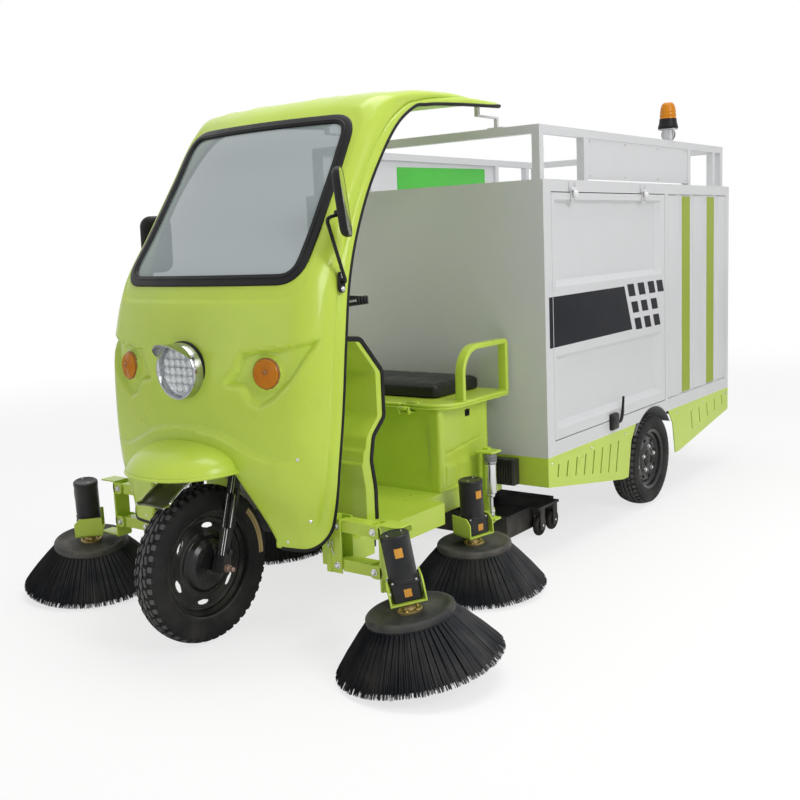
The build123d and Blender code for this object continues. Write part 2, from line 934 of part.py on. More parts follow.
def make_rear_door():
    y = (box_rear - rear_door_thickness, box_rear)
    half = rear_door_half - door_gap
    leaf = block((-half, half), y, (rear_door_bottom + door_gap, rear_door_top - door_gap))
    for centre_x in (-half / 2, half / 2):
        leaf -= block(
            (centre_x - rear_recess_half, centre_x + rear_recess_half),
            (box_rear - recess_depth, box_rear + 1),
            (rear_door_bottom + 2 * door_frame, rear_door_top - 2 * door_frame),
        )
    leaf += block((-35, 35), (box_rear - 1, box_rear + 22), (rear_door_bottom + 10, rear_door_bottom + 70))
    for x in rear_hinge_places:
        span = (x - knuckle_length / 2, x + knuckle_length / 2)
        knuckle = bar_x((x, rear_hinge_y, rear_hinge_z), rear_knuckle_radius, knuckle_length)
        knuckle += block(span, (box_rear - 1, box_rear + hinge_leaf), (rear_hinge_z - 80, rear_hinge_z - 20))
        knuckle += block(span, (box_rear + seat_gap, rear_hinge_y + 4), (rear_hinge_z - 26, rear_hinge_z - 5))
        leaf += knuckle - bar_x((x, rear_hinge_y, rear_hinge_z), hinge_pin_radius + pin_gap, 60)
    return leaf


save("rear_door", make_rear_door())


def rear_hinge_base(x):
    """Box's half of a rear hinge, with the stop above it that the open door meets."""
    base = bar_x((x, rear_hinge_y, rear_hinge_z), hinge_pin_radius, 2 * (eye_offset + eye_length / 2))
    for end in (-1, 1):
        eye_x = x + end * eye_offset
        span = (eye_x - eye_length / 2, eye_x + eye_length / 2)
        base += bar_x((eye_x, rear_hinge_y, rear_hinge_z), rear_knuckle_radius, eye_length)
        base += block(span, (box_rear, rear_hinge_y), (rear_hinge_z - 6, rear_hinge_z + 6))
        base += block(span, (box_rear, box_rear + hinge_leaf), (rear_hinge_z - 6, rear_hinge_z + 32))
    stop_low = rear_hinge_z + 20
    base += block((x - 40, x + 40), (box_rear, box_rear + hinge_leaf), (stop_low, stop_low + 12))
    return base + block((x - 10, x + 10), (box_rear, box_rear + rear_hinge_reach), (stop_low, stop_low + 10))


cargo_box = make_cargo_box()
for hinge_y in side_hinge_places:
    for base in both_sides(side_hinge_base(hinge_y)):
        cargo_box += base
for hinge_x in rear_hinge_places:
    cargo_box += rear_hinge_base(hinge_x)
save("cargo_box", cargo_box)

rib_count = 5
rib_width = 134
rib_depth = 6


def make_side_panel():
    y = (behind(panel_front), behind(panel_rear))
    sheet_panel = block((box_half - box_wall, box_half - rib_depth), y, (side_door_bottom, side_door_top))
    pitch = (y[1] - y[0] - rib_width) / (rib_count - 1)
    for index in range(rib_count):
        rib_y = y[0] + index * pitch
        sheet_panel += block(
            (box_half - rib_depth - 1, box_half),
            (rib_y, rib_y + rib_width),
            (side_door_bottom, side_door_top),
        )
    return sheet_panel


save("rear_side_panels", *both_sides(make_side_panel()))

skirt_front_low = 347
skirt_deep = 217
skirt_rear_deep = 226
skirt_rear_low = 345
skirt_thickness = 5
skirt_arch = arch_radius + 30
skirt_flat = 60
skirt_bend = 400
slot_width = 12
slot_lean = 12


def arch_y(height, radius):
    """Distance fore or aft of the rear axle at which a wheel arch passes a height."""
    return sqrt(radius ** 2 - (height - rear_tyre_radius) ** 2)


def skirt_outline(end_y, end_low, deep, toward):
    """Half of a skirt, from the box's end to the wheel arch; toward is -1 in front of the axle."""
    heights = (deep, skirt_bend, box_bottom)
    arch_points = [(rear_axle_y + toward * arch_y(height, skirt_arch), height) for height in heights]
    corner = (arch_points[0][0] + toward * skirt_flat, deep)
    return [(end_y, box_bottom), (end_y, end_low), corner] + arch_points


def make_skirt(end_y, end_low, deep, toward, slots):
    outline = skirt_outline(end_y, end_low, deep, toward)
    skirt = side_plate(outline, box_half - skirt_thickness, box_half)
    for slot_y, slot_z, slot_length in slots:
        slot = Rot(toward * slot_lean, 0, 0) * Box(30, slot_width, slot_length)
        skirt -= Pos(box_half, slot_y, slot_z) * slot
    return skirt


front_slots = [(behind(95 + 90 * index), 408 - 8 * index, 60 + 14 * index) for index in range(8)]
rear_slots = [(behind(1740 + 125 * index), 372 + 12 * index, 110 - 12 * index) for index in range(5)]
left_skirts = (
    make_skirt(box_front, skirt_front_low, skirt_deep, -1, front_slots),
    make_skirt(box_rear, skirt_rear_low, skirt_rear_deep, 1, rear_slots),
)
front_skirt = block(
    (-box_half + skirt_thickness, box_half - skirt_thickness),
    (box_front, box_front + skirt_thickness),
    (skirt_front_low, box_bottom),
)
for side in (-1, 1):
    slot_x = (side * rail_x - rail_width / 2 - 5, side * rail_x + rail_width / 2 + 5)
    front_skirt -= block(slot_x, (box_front - 1, box_front + 10), (skirt_front_low - 1, rail_top + 5))
skirt_solids = [front_skirt]
for piece in left_skirts:
    skirt_solids += both_sides(piece)
save("box_skirt", *skirt_solids)

# Frame of square tube on the box roof.
frame_top = 1963
frame_inset = 30
frame_tube = 38
frame_posts = (30, 458, 1758, 2150, 2300)


def make_top_rail():
    high_z = (frame_top - frame_tube, frame_top)
    low_z = (box_top, frame_top - frame_tube)
    side_x = box_half - frame_inset
    y_span = (behind(frame_inset), behind(box_length - frame_inset))
    rail = block((-side_x, side_x), (y_span[0], y_span[0] + frame_tube), high_z)
    rail += block((-side_x, side_x), (y_span[1] - frame_tube, y_span[1]), high_z)
    for side in (-1, 1):
        x = (side_x - frame_tube, side_x) if side > 0 else (-side_x, -side_x + frame_tube)
        rail += block(x, y_span, high_z)
        for place in frame_posts:
            post_y = min(max(behind(place), y_span[0]), y_span[1] - frame_tube)
            rail += block(x, (post_y, post_y + frame_tube), low_z)
    return rail


sign_front = 458 + frame_tube
sign_rear = 1758
sign_low = box_top + 12
sign_high = frame_top - frame_tube


def make_sign_panel():
    side_x = box_half - frame_inset
    return block((side_x - 20, side_x - 4), (behind(sign_front), behind(sign_rear)), (sign_low, sign_high))


save("sign_panels", *both_sides(make_sign_panel()))

strut_x = 430
strut_half = 8
strut_rise = 50
strut_reach = roof_rear_ahead + 60


def make_roof_strut():
    """Bracket from the rail to the underside of the cab's roof."""
    base_y = behind(frame_inset) + frame_tube / 2
    strut_span = (strut_x - strut_half, strut_x + strut_half)
    arm_z = (frame_top + strut_rise - strut_half, frame_top + strut_rise)
    strut = block(strut_span, (base_y - strut_half, base_y + strut_half), (frame_top, arm_z[1]))
    strut += block((strut_x - 40, strut_x + 40), (base_y - 14, base_y + 14), (frame_top, frame_top + 5))
    strut += block(strut_span, (ahead(strut_reach), base_y + strut_half), arm_z)
    tip = block(strut_span, (ahead(strut_reach), ahead(strut_reach - 20)), (arm_z[0], frame_top + 200))
    return strut + (tip & cab_block(cab_wall + seat_gap, roof_rear_ahead))


top_rail = make_top_rail()
for strut in both_sides(make_roof_strut()):
    top_rail += strut
save("top_rail", top_rail)

beacon_x = box_half - frame_inset - frame_tube / 2
beacon_y = behind(1515)
beacon_top = 2167
beacon_post_height = 58
horn_radius = 36


def make_beacon_post():
    plate_z = frame_top + beacon_post_height
    post = block((beacon_x - 16, beacon_x + 16), (beacon_y - 16, beacon_y + 16), (frame_top, plate_z + 1))
    post += block((beacon_x - 45, beacon_x + 45), (beacon_y - 30, beacon_y + 30), (plate_z, plate_z + 6))
    horn = bar_y((beacon_x - 26, beacon_y + 68, frame_top + horn_radius + 3), horn_radius, 30)
    horn += block((beacon_x - 30, beacon_x), (beacon_y + 10, beacon_y + 56), (frame_top + 32, frame_top + 44))
    return post + horn


save("beacon_post", make_beacon_post())


def make_beacon():
    base_z = frame_top + beacon_post_height + 6 + seat_gap
    base = Pos(beacon_x, beacon_y, base_z + 25) * Cone(48, 38, 50)
    lens_height = beacon_top - base_z - 50
    lens = bar_z((beacon_x, beacon_y, base_z + 50 + lens_height / 2), 36, lens_height)
    lens = fillet(lens.edges().sort_by(Axis.Z)[-1], 14)
    return base + lens


save("beacon", make_beacon())

# ================================================================================================
# Suction head with its casters
# ================================================================================================
def make_suction_hood():
    outer = block((-hood_half, hood_half), (behind(hood_front), behind(hood_rear)), (hood_low, hood_high))
    duct_y = (behind(duct_front), behind(duct_rear))
    duct = block((-duct_half, duct_half), duct_y, (hood_high - 1, box_bottom))
    hood = outer + duct
    hood -= block(
        (-hood_half + hood_wall, hood_half - hood_wall),
        (behind(hood_front + hood_wall), behind(hood_rear - hood_wall)),
        (hood_low - 1, hood_high - hood_wall),
    )
    hood -= block(
        (-duct_half + hood_wall, duct_half - hood_wall),
        (behind(duct_front + hood_wall), behind(duct_rear - hood_wall)),
        (hood_high - 20, box_bottom + 1),
    )
    return hood


def make_caster_forks():
    """Side brackets that carry the casters, with the wheels' pins."""
    forks = []
    for side in (-1, 1):
        x_wall = side * hood_half
        x_out = side * (caster_x + caster_width / 2 + 8)
        plate_x = (min(x_wall, x_out), max(x_wall, x_out))
        plate_y = (behind(caster_places[0]) - 40, behind(caster_places[1]) + 40)
        fork = block(plate_x, plate_y, (hood_high - 12, hood_high))
        for place in caster_places:
            for offset in (-1, 1):
                cheek = side * caster_x + offset * (caster_width / 2 + 6)
                cheek_y = (behind(place) - 20, behind(place) + 20)
                fork += block((cheek - 2, cheek + 2), cheek_y, (caster_cheek_low, hood_high - 11))
            pin_centre = (side * caster_x, behind(place), caster_radius + caster_gap)
            fork += bar_x(pin_centre, caster_pin, caster_width + 16)
        forks.append(fork)
    return forks


suction_hood = make_suction_hood()
for fork in make_caster_forks():
    suction_hood += fork
save("suction_hood", suction_hood)


def make_caster(side, place):
    centre = (side * caster_x, behind(place), caster_radius + caster_gap)
    wheel = fillet(Cylinder(caster_radius, caster_width).edges(), 6)
    wheel += Cylinder(16, caster_width + 4)
    wheel -= Cylinder(caster_pin + pin_gap, caster_width + 10)
    return Pos(*centre) * Rot(0, 90, 0) * wheel


for side, label in ((1, "left"), (-1, "right")):
    for place, end in zip(caster_places, ("front", "rear")):
        save(f"{label}_{end}_caster", make_caster(side, place))

# ================================================================================================
# Brushes
# ================================================================================================
def brush_plane(x, place, inward, forward, side):
    """Frame of a brush: its origin is the middle of the bristle tips, z is the spindle."""
    axis = Vector(-side * tan(radians(inward)), -tan(radians(forward)), 1).normalized()
    lift = brush_tip_radius * sqrt(1 - axis.Z ** 2) + brush_ground_gap
    across = (1, 0, side * tan(radians(inward)))
    return Plane(origin=(side * x, ahead(place), lift), x_dir=across, z_dir=axis)


spindle_radius = 12
disc_thickness = 26
gearbox_height = 70
motor_height = 150
plate_gap = 24
plate_thickness = 6


def make_brush(frame):
    bristle_height = brush_height - disc_thickness
    bristles = Pos(0, 0, bristle_height / 2) * Cone(brush_tip_radius, brush_disc_radius - 6, bristle_height)
    hollow_height = bristle_height - 2
    hollow = Pos(0, 0, hollow_height / 2) * Cone(brush_tip_radius - 55, brush_disc_radius - 45, hollow_height)
    disc = Pos(0, 0, brush_height - disc_thickness / 2) * Cylinder(brush_disc_radius, disc_thickness)
    spindle = Pos(0, 0, brush_height + plate_gap / 2) * Cylinder(spindle_radius, plate_gap)
    return frame * (bristles - hollow + disc + spindle)


def motor_solid():
    """Gearmotor on its mounting plate, in the brush's frame."""
    plate_z = brush_height + plate_gap
    gearbox_z = plate_z + plate_thickness
    motor_z = gearbox_z + gearbox_height
    plate = Pos(0, 0, plate_z + plate_thickness / 2) * Box(120, 110, plate_thickness)
    gearbox = Pos(0, 0, gearbox_z + gearbox_height / 2) * Box(96, 84, gearbox_height)
    gearbox = fillet(gearbox.edges().filter_by(Axis.Z), 14)
    motor = Pos(0, 0, motor_z + motor_height / 2) * Cylinder(motor_radius, motor_height)
    cap = Pos(0, 0, motor_z + motor_height + 4) * Cylinder(motor_radius - 5, 10)
    return plate + gearbox + motor + cap


# Front brush lift: two parallel arms on pins that run fore and aft.
arm_inner_x = 530
arm_outer_x = 698
arm_upper_z = 476
arm_lower_z = 330
arm_ahead = 1268
arm_depth = 56
arm_height = 44
arm_wall = 5
arm_pin = 8
clevis_gap = 3
clevis_wall = 6
spine_thickness = 22
head_plate_low = 258


def make_arm(side, height):
    y = ahead(arm_ahead)
    length = arm_outer_x - arm_inner_x
    middle = side * (arm_inner_x + arm_outer_x) / 2
    arm = Pos(middle, y, height) * Box(length - 40, arm_depth, arm_height)
    arm -= Pos(middle, y, height - arm_wall) * Box(length, arm_depth - 2 * arm_wall, arm_height)
    for x in (arm_inner_x, arm_outer_x):
        eye = bar_y((side * x, y, height), 18, arm_depth)
        toward = 1 if x == arm_inner_x else -1
        eye += Pos(side * (x + toward * 16), y, height) * Box(34, arm_depth, 30)
        arm += eye
    for x in (arm_inner_x, arm_outer_x):
        arm -= bar_y((side * x, y, height), arm_pin + pin_gap, arm_depth + 2)
    return arm


def arm_pins(x):
    """The two pins of a clevis, one for each arm."""
    length = arm_depth + 2 * (clevis_gap + clevis_wall) + 8
    y = ahead(arm_ahead)
    return bar_y((x, y, arm_upper_z), arm_pin, length) + bar_y((x, y, arm_lower_z), arm_pin, length)


def clevis_cheeks(x_span, low):
    """The two cheeks of a clevis, fore and aft of the arms."""
    cheeks = []
    for end in (-1, 1):
        y = ahead(arm_ahead) + end * (arm_depth / 2 + clevis_gap + clevis_wall / 2)
        cheeks.append(block(x_span, (y - clevis_wall / 2, y + clevis_wall / 2), (low, arm_upper_z + 26)))
    return cheeks[0] + cheeks[1]


def make_front_bracket(side):
    """Fixed bracket: outrigger from the cross beam and a clevis for both arms."""
    y = ahead(arm_ahead)
    x_low = arm_inner_x - 50
    cheek_low = arm_lower_z - 30
    outrigger_y = (y - arm_depth / 2, rail_front - cross_beam_depth)
    bracket = block((x_low - 30, x_low + 60), outrigger_y, (rail_bottom - 6, rail_top))
    bracket += clevis_cheeks((x_low, arm_inner_x + 18), cheek_low)
    bracket -= block(
        (x_low + spine_thickness, arm_inner_x + 40),
        (y - arm_depth / 2 - clevis_gap, y + arm_depth / 2 + clevis_gap),
        (cheek_low - 30, arm_upper_z + 60),
    )
    bracket += block((x_low, x_low + spine_thickness), (y - 40, y + 40), (cheek_low, arm_upper_z + 26))
    bracket += arm_pins(arm_inner_x)
    return bracket if side > 0 else mirror(bracket, Plane.YZ)


def make_front_head(side, frame):
    """Link plate with its two pins, and the gearmotor's mounting."""
    y = ahead(arm_ahead)
    plate_x = (arm_outer_x + 24, arm_outer_x + 34)
    head = clevis_cheeks((arm_outer_x - 20, arm_outer_x + 34), arm_lower_z - 26)
    head += block(plate_x, (y - 37, y + 37), (head_plate_low, arm_upper_z + 26))
    head += arm_pins(arm_outer_x)
    if side < 0:
        head = mirror(head, Plane.YZ)
    plate_z = brush_height + plate_gap
    shelf = frame * (Pos(-side * 95, 20, plate_z + plate_thickness / 2) * Box(130, 70, plate_thickness))
    web = frame * (Pos(-side * 92, 20, plate_z + 33) * Box(112, plate_thickness, 60))
    return head + shelf + web + frame * motor_solid()


brush_brackets = []
front_frames = {}
for side, label in ((1, "left"), (-1, "right")):
    frame = brush_plane(
        front_brush_x,
        front_brush_ahead,
        front_brush_inward_lean,
        front_brush_forward_lean,
        side,
    )
    front_frames[label] = frame
    save(f"front_{label}_upper_arm", make_arm(side, arm_upper_z))
    save(f"front_{label}_lower_arm", make_arm(side, arm_lower_z))
    save(f"front_{label}_brush_head", make_front_head(side, frame))
    save(f"front_{label}_brush", make_brush(frame))
    brush_brackets.append(make_front_bracket(side))

# Middle brush lift: a carriage that an upright linear actuator raises along a guide post.
post_x = 500
post_ahead = 225
post_side = 30
post_low = 200
post_high = 562
outrigger_low = rail_bottom - 22
outrigger_high = rail_bottom - 8
shoe_gap = 0.5
shoe_wall = 6
shoe_low = 215
shoe_high = 285
mid_arm_low = 236
actuator_x = 545
actuator_ahead = 268
actuator_radius = 23
actuator_low = 352
actuator_high = 520
rod_radius = 9
lug_z = 262


def make_mid_carriage(side, frame):
    """Shoe on the guide post, arm to the motor's plate, and the lug for the actuator's rod."""
    y = ahead(post_ahead)
    inner = post_side / 2 + shoe_gap
    outer = inner + shoe_wall
    shoe = block((post_x - inner, post_x + outer), (y - outer, y + outer), (shoe_low, shoe_high))
    shoe -= block((post_x - outer - 1, post_x + inner), (y - inner, y + inner), (shoe_low - 1, shoe_high + 1))
    arm_x = (post_x + inner, actuator_x + 30)
    arm = block(arm_x, (ahead(actuator_ahead + 22), y - inner), (lug_z - 14, lug_z - 4))
    arm_y = (ahead(mid_brush_ahead + 30), y - inner)
    arm += block((arm_x[0], arm_x[0] + shoe_wall), arm_y, (mid_arm_low, shoe_high))
    lug_y = (ahead(actuator_ahead + 16), ahead(actuator_ahead - 16))
    lug = block((actuator_x - 16, actuator_x + 16), lug_y, (lug_z - 5, lug_z))
    carriage = shoe + arm + lug
    if side < 0:
        carriage = mirror(carriage, Plane.YZ)
    plate_z = brush_height + plate_gap
    shelf = frame * (Pos(-side * 60, 0, plate_z + plate_thickness / 2) * Box(24, 60, plate_thickness))
    return carriage + shelf + frame * motor_solid()


def make_mid_bracket(side):
    """Outrigger under the chassis rail, the guide post and the actuator's upper bracket."""
    y = ahead(post_ahead)
    half = post_side / 2
    bracket = block((post_x - half, post_x + half), (y - half, y + half), (post_low, post_high))
    bracket += block((rail_x - rail_width / 2, post_x), (y - 14, y + 14), (outrigger_low, outrigger_high))
    bracket += block(
        (rail_x - rail_width / 2, rail_x + rail_width / 2),
        (y - 30, y + 30),
        (outrigger_low, rail_bottom),
    )
    bracket += block(
        (post_x - half, actuator_x + 22),
        (ahead(actuator_ahead + 22), y + half),
        (actuator_high + seat_gap + 26, actuator_high + seat_gap + 34),
    )
    return bracket if side > 0 else mirror(bracket, Plane.YZ)


def make_actuator(side):
    centre = (side * actuator_x, ahead(actuator_ahead))
    body = bar_z((*centre, (actuator_low + actuator_high) / 2), actuator_radius, actuator_high - actuator_low)
    body += bar_z((*centre, actuator_high + 13), actuator_radius + 4, 26)
    body -= bar_z((*centre, actuator_low + 70), rod_radius + pin_gap, 150)
    return body


def make_actuator_rod(side):
    centre = (side * actuator_x, ahead(actuator_ahead))
    rod_high = actuator_low + 55
    rod = bar_z((*centre, (lug_z + seat_gap + rod_high) / 2), rod_radius, rod_high - lug_z - seat_gap)
    return rod + bar_z((*centre, lug_z + seat_gap + 8), rod_radius + 5, 16)


for side, label in ((1, "left"), (-1, "right")):
    frame = brush_plane(mid_brush_x, mid_brush_ahead, 0, mid_brush_forward_lean, side)
    save(f"mid_{label}_carriage", make_mid_carriage(side, frame))
    save(f"mid_{label}_brush", make_brush(frame))
    save(f"mid_{label}_actuator", make_actuator(side))
    save(f"mid_{label}_actuator_rod", make_actuator_rod(side))
    brush_brackets.append(make_mid_bracket(side))

save("brush_brackets", *brush_brackets)

# Values that the record repeats.
print("overall length", overall_length, "box front", box_front)
print("front axle", front_axle_y, "rear axle", rear_axle_y)
print("steering axis", steering_frame.z_dir, "through", on_steering(0, fork_offset, 0).position)
for label, frame in front_frames.items():
    print("front brush", label, frame.origin, frame.z_dir)
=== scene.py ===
import bmesh
import bpy
import numpy as np
from mathutils import Matrix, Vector
from mathutils.bvhtree import BVHTree


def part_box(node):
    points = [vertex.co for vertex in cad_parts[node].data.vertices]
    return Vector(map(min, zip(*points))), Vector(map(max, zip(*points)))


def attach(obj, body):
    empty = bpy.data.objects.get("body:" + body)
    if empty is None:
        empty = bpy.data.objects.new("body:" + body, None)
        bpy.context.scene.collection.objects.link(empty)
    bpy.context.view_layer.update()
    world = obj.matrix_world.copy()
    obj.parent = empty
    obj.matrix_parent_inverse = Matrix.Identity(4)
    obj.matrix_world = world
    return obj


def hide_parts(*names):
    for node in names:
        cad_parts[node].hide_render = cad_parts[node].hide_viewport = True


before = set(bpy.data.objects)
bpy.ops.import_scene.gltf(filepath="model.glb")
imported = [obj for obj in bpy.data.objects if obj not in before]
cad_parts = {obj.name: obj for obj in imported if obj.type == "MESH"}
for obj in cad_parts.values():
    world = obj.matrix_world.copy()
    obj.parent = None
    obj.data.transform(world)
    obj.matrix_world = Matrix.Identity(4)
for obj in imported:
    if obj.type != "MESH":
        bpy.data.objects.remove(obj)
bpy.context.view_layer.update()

mm = 0.001
boxFront = -0.302  # the load box's front face, from which the cab's distances ahead are taken
along, sideways, upwards = (0, 1, 0), (1, 0, 0), (0, 0, 1)  # to the rear, to the left and up
scene = bpy.context.scene


# shapes, as (points, faces) pairs

def unit(v):
    # a vector, or a list of them, at length one
    v = np.asarray(v, float)
    return v / np.maximum(np.linalg.norm(v, axis=-1, keepdims=True), 1e-12)


def beside(*parts):
    # numbers and arrays of one shape, side by side along a new last axis
    return np.stack(np.broadcast_arrays(*parts), -1)


def angles(count):
    # equal steps round a circle
    return np.arange(count) * 2 * np.pi / count


def grid(points, wrapU=False, wrapV=False, capU=False):
    # rows of points joined by four-sided faces, with the first and last row closed by a face if asked
    ids = np.arange(points.shape[0] * points.shape[1]).reshape(points.shape[:2])
    a = np.vstack([ids, ids[:1]]) if wrapU else ids
    a = np.hstack([a, a[:, :1]]) if wrapV else a
    quads = beside(a[:-1, :-1], a[1:, :-1], a[1:, 1:], a[:-1, 1:]).reshape(-1, 4)
    return points.reshape(-1, 3), [quads] + ([ids[:1], ids[-1:, ::-1]] if capU else [])


def join(parts):
    # several shapes as one
    sizes = np.cumsum([0] + [len(v) for v, f in parts])
    return np.vstack([v for v, f in parts]), [q + s for (v, f), s in zip(parts, sizes) for q in f]


def place(part, matrix):
    # a shape moved by a 4 by 4 matrix
    return part[0] @ matrix[:3, :3].T + matrix[:3, 3], part[1]


def shift(part, by):
    return part[0] + np.array(by), part[1]


def mirrored(part):
    # a shape reflected in the vehicle's middle plane, with its faces turned back outwards
    return part[0] * [-1, 1, 1], [q[:, ::-1] for q in part[1]]


def bothSides(*parts):
    whole = join(parts)
    return join([whole, mirrored(whole)])


def same(part):
    return part


sides = ((1, "left", same), (-1, "right", mirrored))  # sign, name and what turns a left shape into this side's


def axes(origin, up=upwards, right=sideways):
    # a matrix whose third axis is up and whose first is right, squared against it
    z = unit(up)
    x = unit(np.asarray(right, float) - np.dot(right, z) * z)
    m = np.eye(4)
    m[:3, :3] = np.stack([x, np.cross(z, x), z], 1)
    m[:3, 3] = origin
    return m


def outLeft(x, y=0, z=0):
    # axes for what lies on the left side: to the rear, up, and out
    return axes((x, y, z), sideways, along)


def outRear(y, x=0, z=0):
    # axes for what lies on the back: to the right, up, and out
    return axes((x, y, z), along, (-1, 0, 0))


def lathe(profile, origin=(0, 0, 0), axis=upwards, count=48):
    # a profile of (along, radius) turned about an axis; its ends are closed
    profile, axis = np.asarray(profile, float), unit(axis)
    angle = angles(count)
    points = beside(profile[:, 1:] * np.cos(angle), profile[:, 1:] * np.sin(angle), profile[:, :1])
    return place(grid(points, wrapV=True, capU=True), axes(origin, axis, np.eye(3)[np.argmin(np.abs(axis))]))


def barrel(half, radius, origin, axis, count=24, rise=0.001):
    # a round bar, as long on both sides of its origin, with ends bevelled over a millimetre
    edge = half - mm
    ends = [(-half, 0), (-half, radius - rise), (-edge, radius), (edge, radius), (half, radius - rise), (half, 0)]
    return lathe(ends, origin, axis, count)


def carry(profile, path, up=None, closed=False, scale=None):
    # a closed flat outline moved along a path: its first number goes sideways, its second along up
    path, profile = np.asarray(path, float), np.asarray(profile, float)
    if up is None:  # the direction in which the path bends least
        up = np.linalg.svd(path - path.mean(0))[2][2]
    tangent = unit(np.roll(path, -1, 0) - np.roll(path, 1, 0) if closed else np.gradient(path, axis=0))
    side = unit(np.cross(tangent, np.broadcast_to(up, path.shape)))
    lift = unit(np.cross(side, tangent))
    size = np.ones((len(path), 1, 1)) if scale is None else np.asarray(scale, float).reshape(-1, 1, 1)
    points = path[:, None] + size * (profile[None, :, :1] * side[:, None] + profile[None, :, 1:] * lift[:, None])
    return grid(points, wrapU=closed, wrapV=True, capU=not closed)


def tube(path, radius, count=16, up=None, closed=False):
    angle = angles(count)
    return carry(beside(np.cos(angle), np.sin(angle)) * radius, path, up, closed)


def bend(points, radius, steps=6, closed=False):
    # straight runs joined by curves: each corner is a quadratic curve between points a radius before and after it
    points = np.asarray(points, float)
    out = [] if closed else [points[:1]]
    s = np.linspace(0, 1, steps + 1)[:, None]
    for i in range(len(points)) if closed else range(1, len(points) - 1):
        p, q, r = points[i - 1], points[i], points[(i + 1) % len(points)]
        reach = min(radius, 0.49 * np.linalg.norm(p - q), 0.49 * np.linalg.norm(r - q))
        a, b = q + unit(p - q) * reach, q + unit(r - q) * reach
        out.append((1 - s) ** 2 * a + 2 * s * (1 - s) * q + s ** 2 * b)
    return np.vstack(out if closed else out + [points[-1:]])


def roundRect(width, height, radius, steps=5):
    # a rectangle's outline with round corners
    radius = min(radius, width / 2 - 1e-5, height / 2 - 1e-5)
    angle = np.linspace(0, np.pi / 2, steps + 1)
    corner = beside(np.cos(angle), np.sin(angle)) * radius
    w, h = width / 2 - radius, height / 2 - radius
    turn = np.array([[0, 1], [-1, 0]])
    return np.vstack([corner @ np.linalg.matrix_power(turn, i) + c for i,
            c in enumerate([(w, h), (-w, h), (-w, -h), (w, -h)])])


def inset(outline, by):
    # a flat outline moved inwards by a distance, corner by corner
    step = unit(np.roll(outline, -1, 0) - outline)
    normal = beside(step[:, 1], -step[:, 0])
    both = unit(normal + np.roll(normal, 1, 0))
    reach = by / np.clip((both * normal).sum(-1, keepdims=True), 0.4, 1)
    area = np.sum(outline[:, 0] * np.roll(outline[:, 1], -1) - np.roll(outline[:, 0], -1) * outline[:, 1])
    return outline - both * reach * np.sign(area)


def stacked(outline, rows, matrix=np.eye(4)):
    # a flat outline repeated at heights, each moved inwards by its own distance
    outline = np.asarray(outline, float)
    points = np.stack([np.hstack([inset(outline, by) if by else outline, np.full((len(outline), 1), z)]) for by,
            z in rows])
    return place(grid(points, wrapV=True, capU=True), matrix)


def slab(outline, thick, matrix=np.eye(4), edge=0.0008):
    # a flat outline given a thickness, with a small bevel round both faces
    return stacked(outline, [(edge, 0), (0, edge), (0, thick - edge), (edge, thick)], matrix)


def block(size, centre=(0, 0, 0), radius=0.004, matrix=np.eye(4), edge=0.0012):
    # a box with rounded upright edges and bevelled ends, about its centre
    part = slab(roundRect(size[0], size[1], radius, 4), size[2], edge=edge)
    return place(shift(part, np.array(centre) - [0, 0, size[2] / 2]), matrix)


def bolt(origin, axis, size=0.009):
    # a washer and a six-sided head with a domed end, in shares of the head's half width
    washer = [(0, 0), (0, 1.25), (0.22, 1.25), (0.25, 1.1), (0.25, 0)]
    head = [(0.2, 0), (0.2, 0.98), (0.85, 0.98), (1.0, 0.8), (1.04, 0)]
    return join([lathe(np.array(rows) * size, origin, axis, count) for rows, count in ((washer, 20), (head, 6))])


def smoothThrough(knots, values, at):
    # a cubic curve through the values, with each slope the mean of its neighbours'
    slope = np.gradient(values, knots, axis=0)
    i = np.clip(np.searchsorted(knots, at, side="right") - 1, 0, len(knots) - 2)
    h = (knots[i + 1] - knots[i])[:, None]
    s = (at - knots[i])[:, None] / h
    return ((2 * s ** 3 - 3 * s ** 2 + 1) * values[i] + (s ** 3 - 2 * s ** 2 + s) * h * slope[i]
        + (3 * s ** 2 - 2 * s ** 3) * values[i + 1] + (s ** 3 - s ** 2) * h * slope[i + 1])


def runOf(path):
    # the distance along a path up to each of its points
    return np.concatenate([[0], np.cumsum(np.linalg.norm(np.diff(path, axis=0), axis=-1))])


def evenly(outline, count, closed=True):
    # points at equal distances along an outline
    path = np.vstack([outline, outline[:1]]) if closed else outline
    run = runOf(path)
    at = np.linspace(0, run[-1], count, endpoint=not closed)
    return beside(*(np.interp(at, run, path[:, k]) for k in range(path.shape[1])))


def step(value, low, high):
    # 0 below low, 1 above high and smooth between
    t = np.clip((value - low) / (high - low), 0, 1)
    return t * t * (3 - 2 * t)


def outlineDistance(outline, x, z):
    # distance from each point to a closed outline, below zero inside it
    p = beside(np.ravel(x), np.ravel(z))
    a = np.asarray(outline, float)
    best, inside = np.full(len(p), 9.0), np.zeros(len(p), bool)
    for s, e in zip(a, np.roll(a, -1, 0)):
        t = np.clip(((p - s) @ (e - s)) / max((e - s) @ (e - s), 1e-12), 0, 1)
        best = np.minimum(best, np.linalg.norm(p - s - t[:, None] * (e - s), axis=-1))
        crosses = (s[1] > p[:, 1]) != (e[1] > p[:, 1])
        inside ^= crosses & (p[:, 0] < (e[0] - s[0]) * (p[:, 1] - s[1]) / (e[1] - s[1] + 1e-12) + s[0])
    return np.where(inside, -best, best).reshape(np.shape(x))


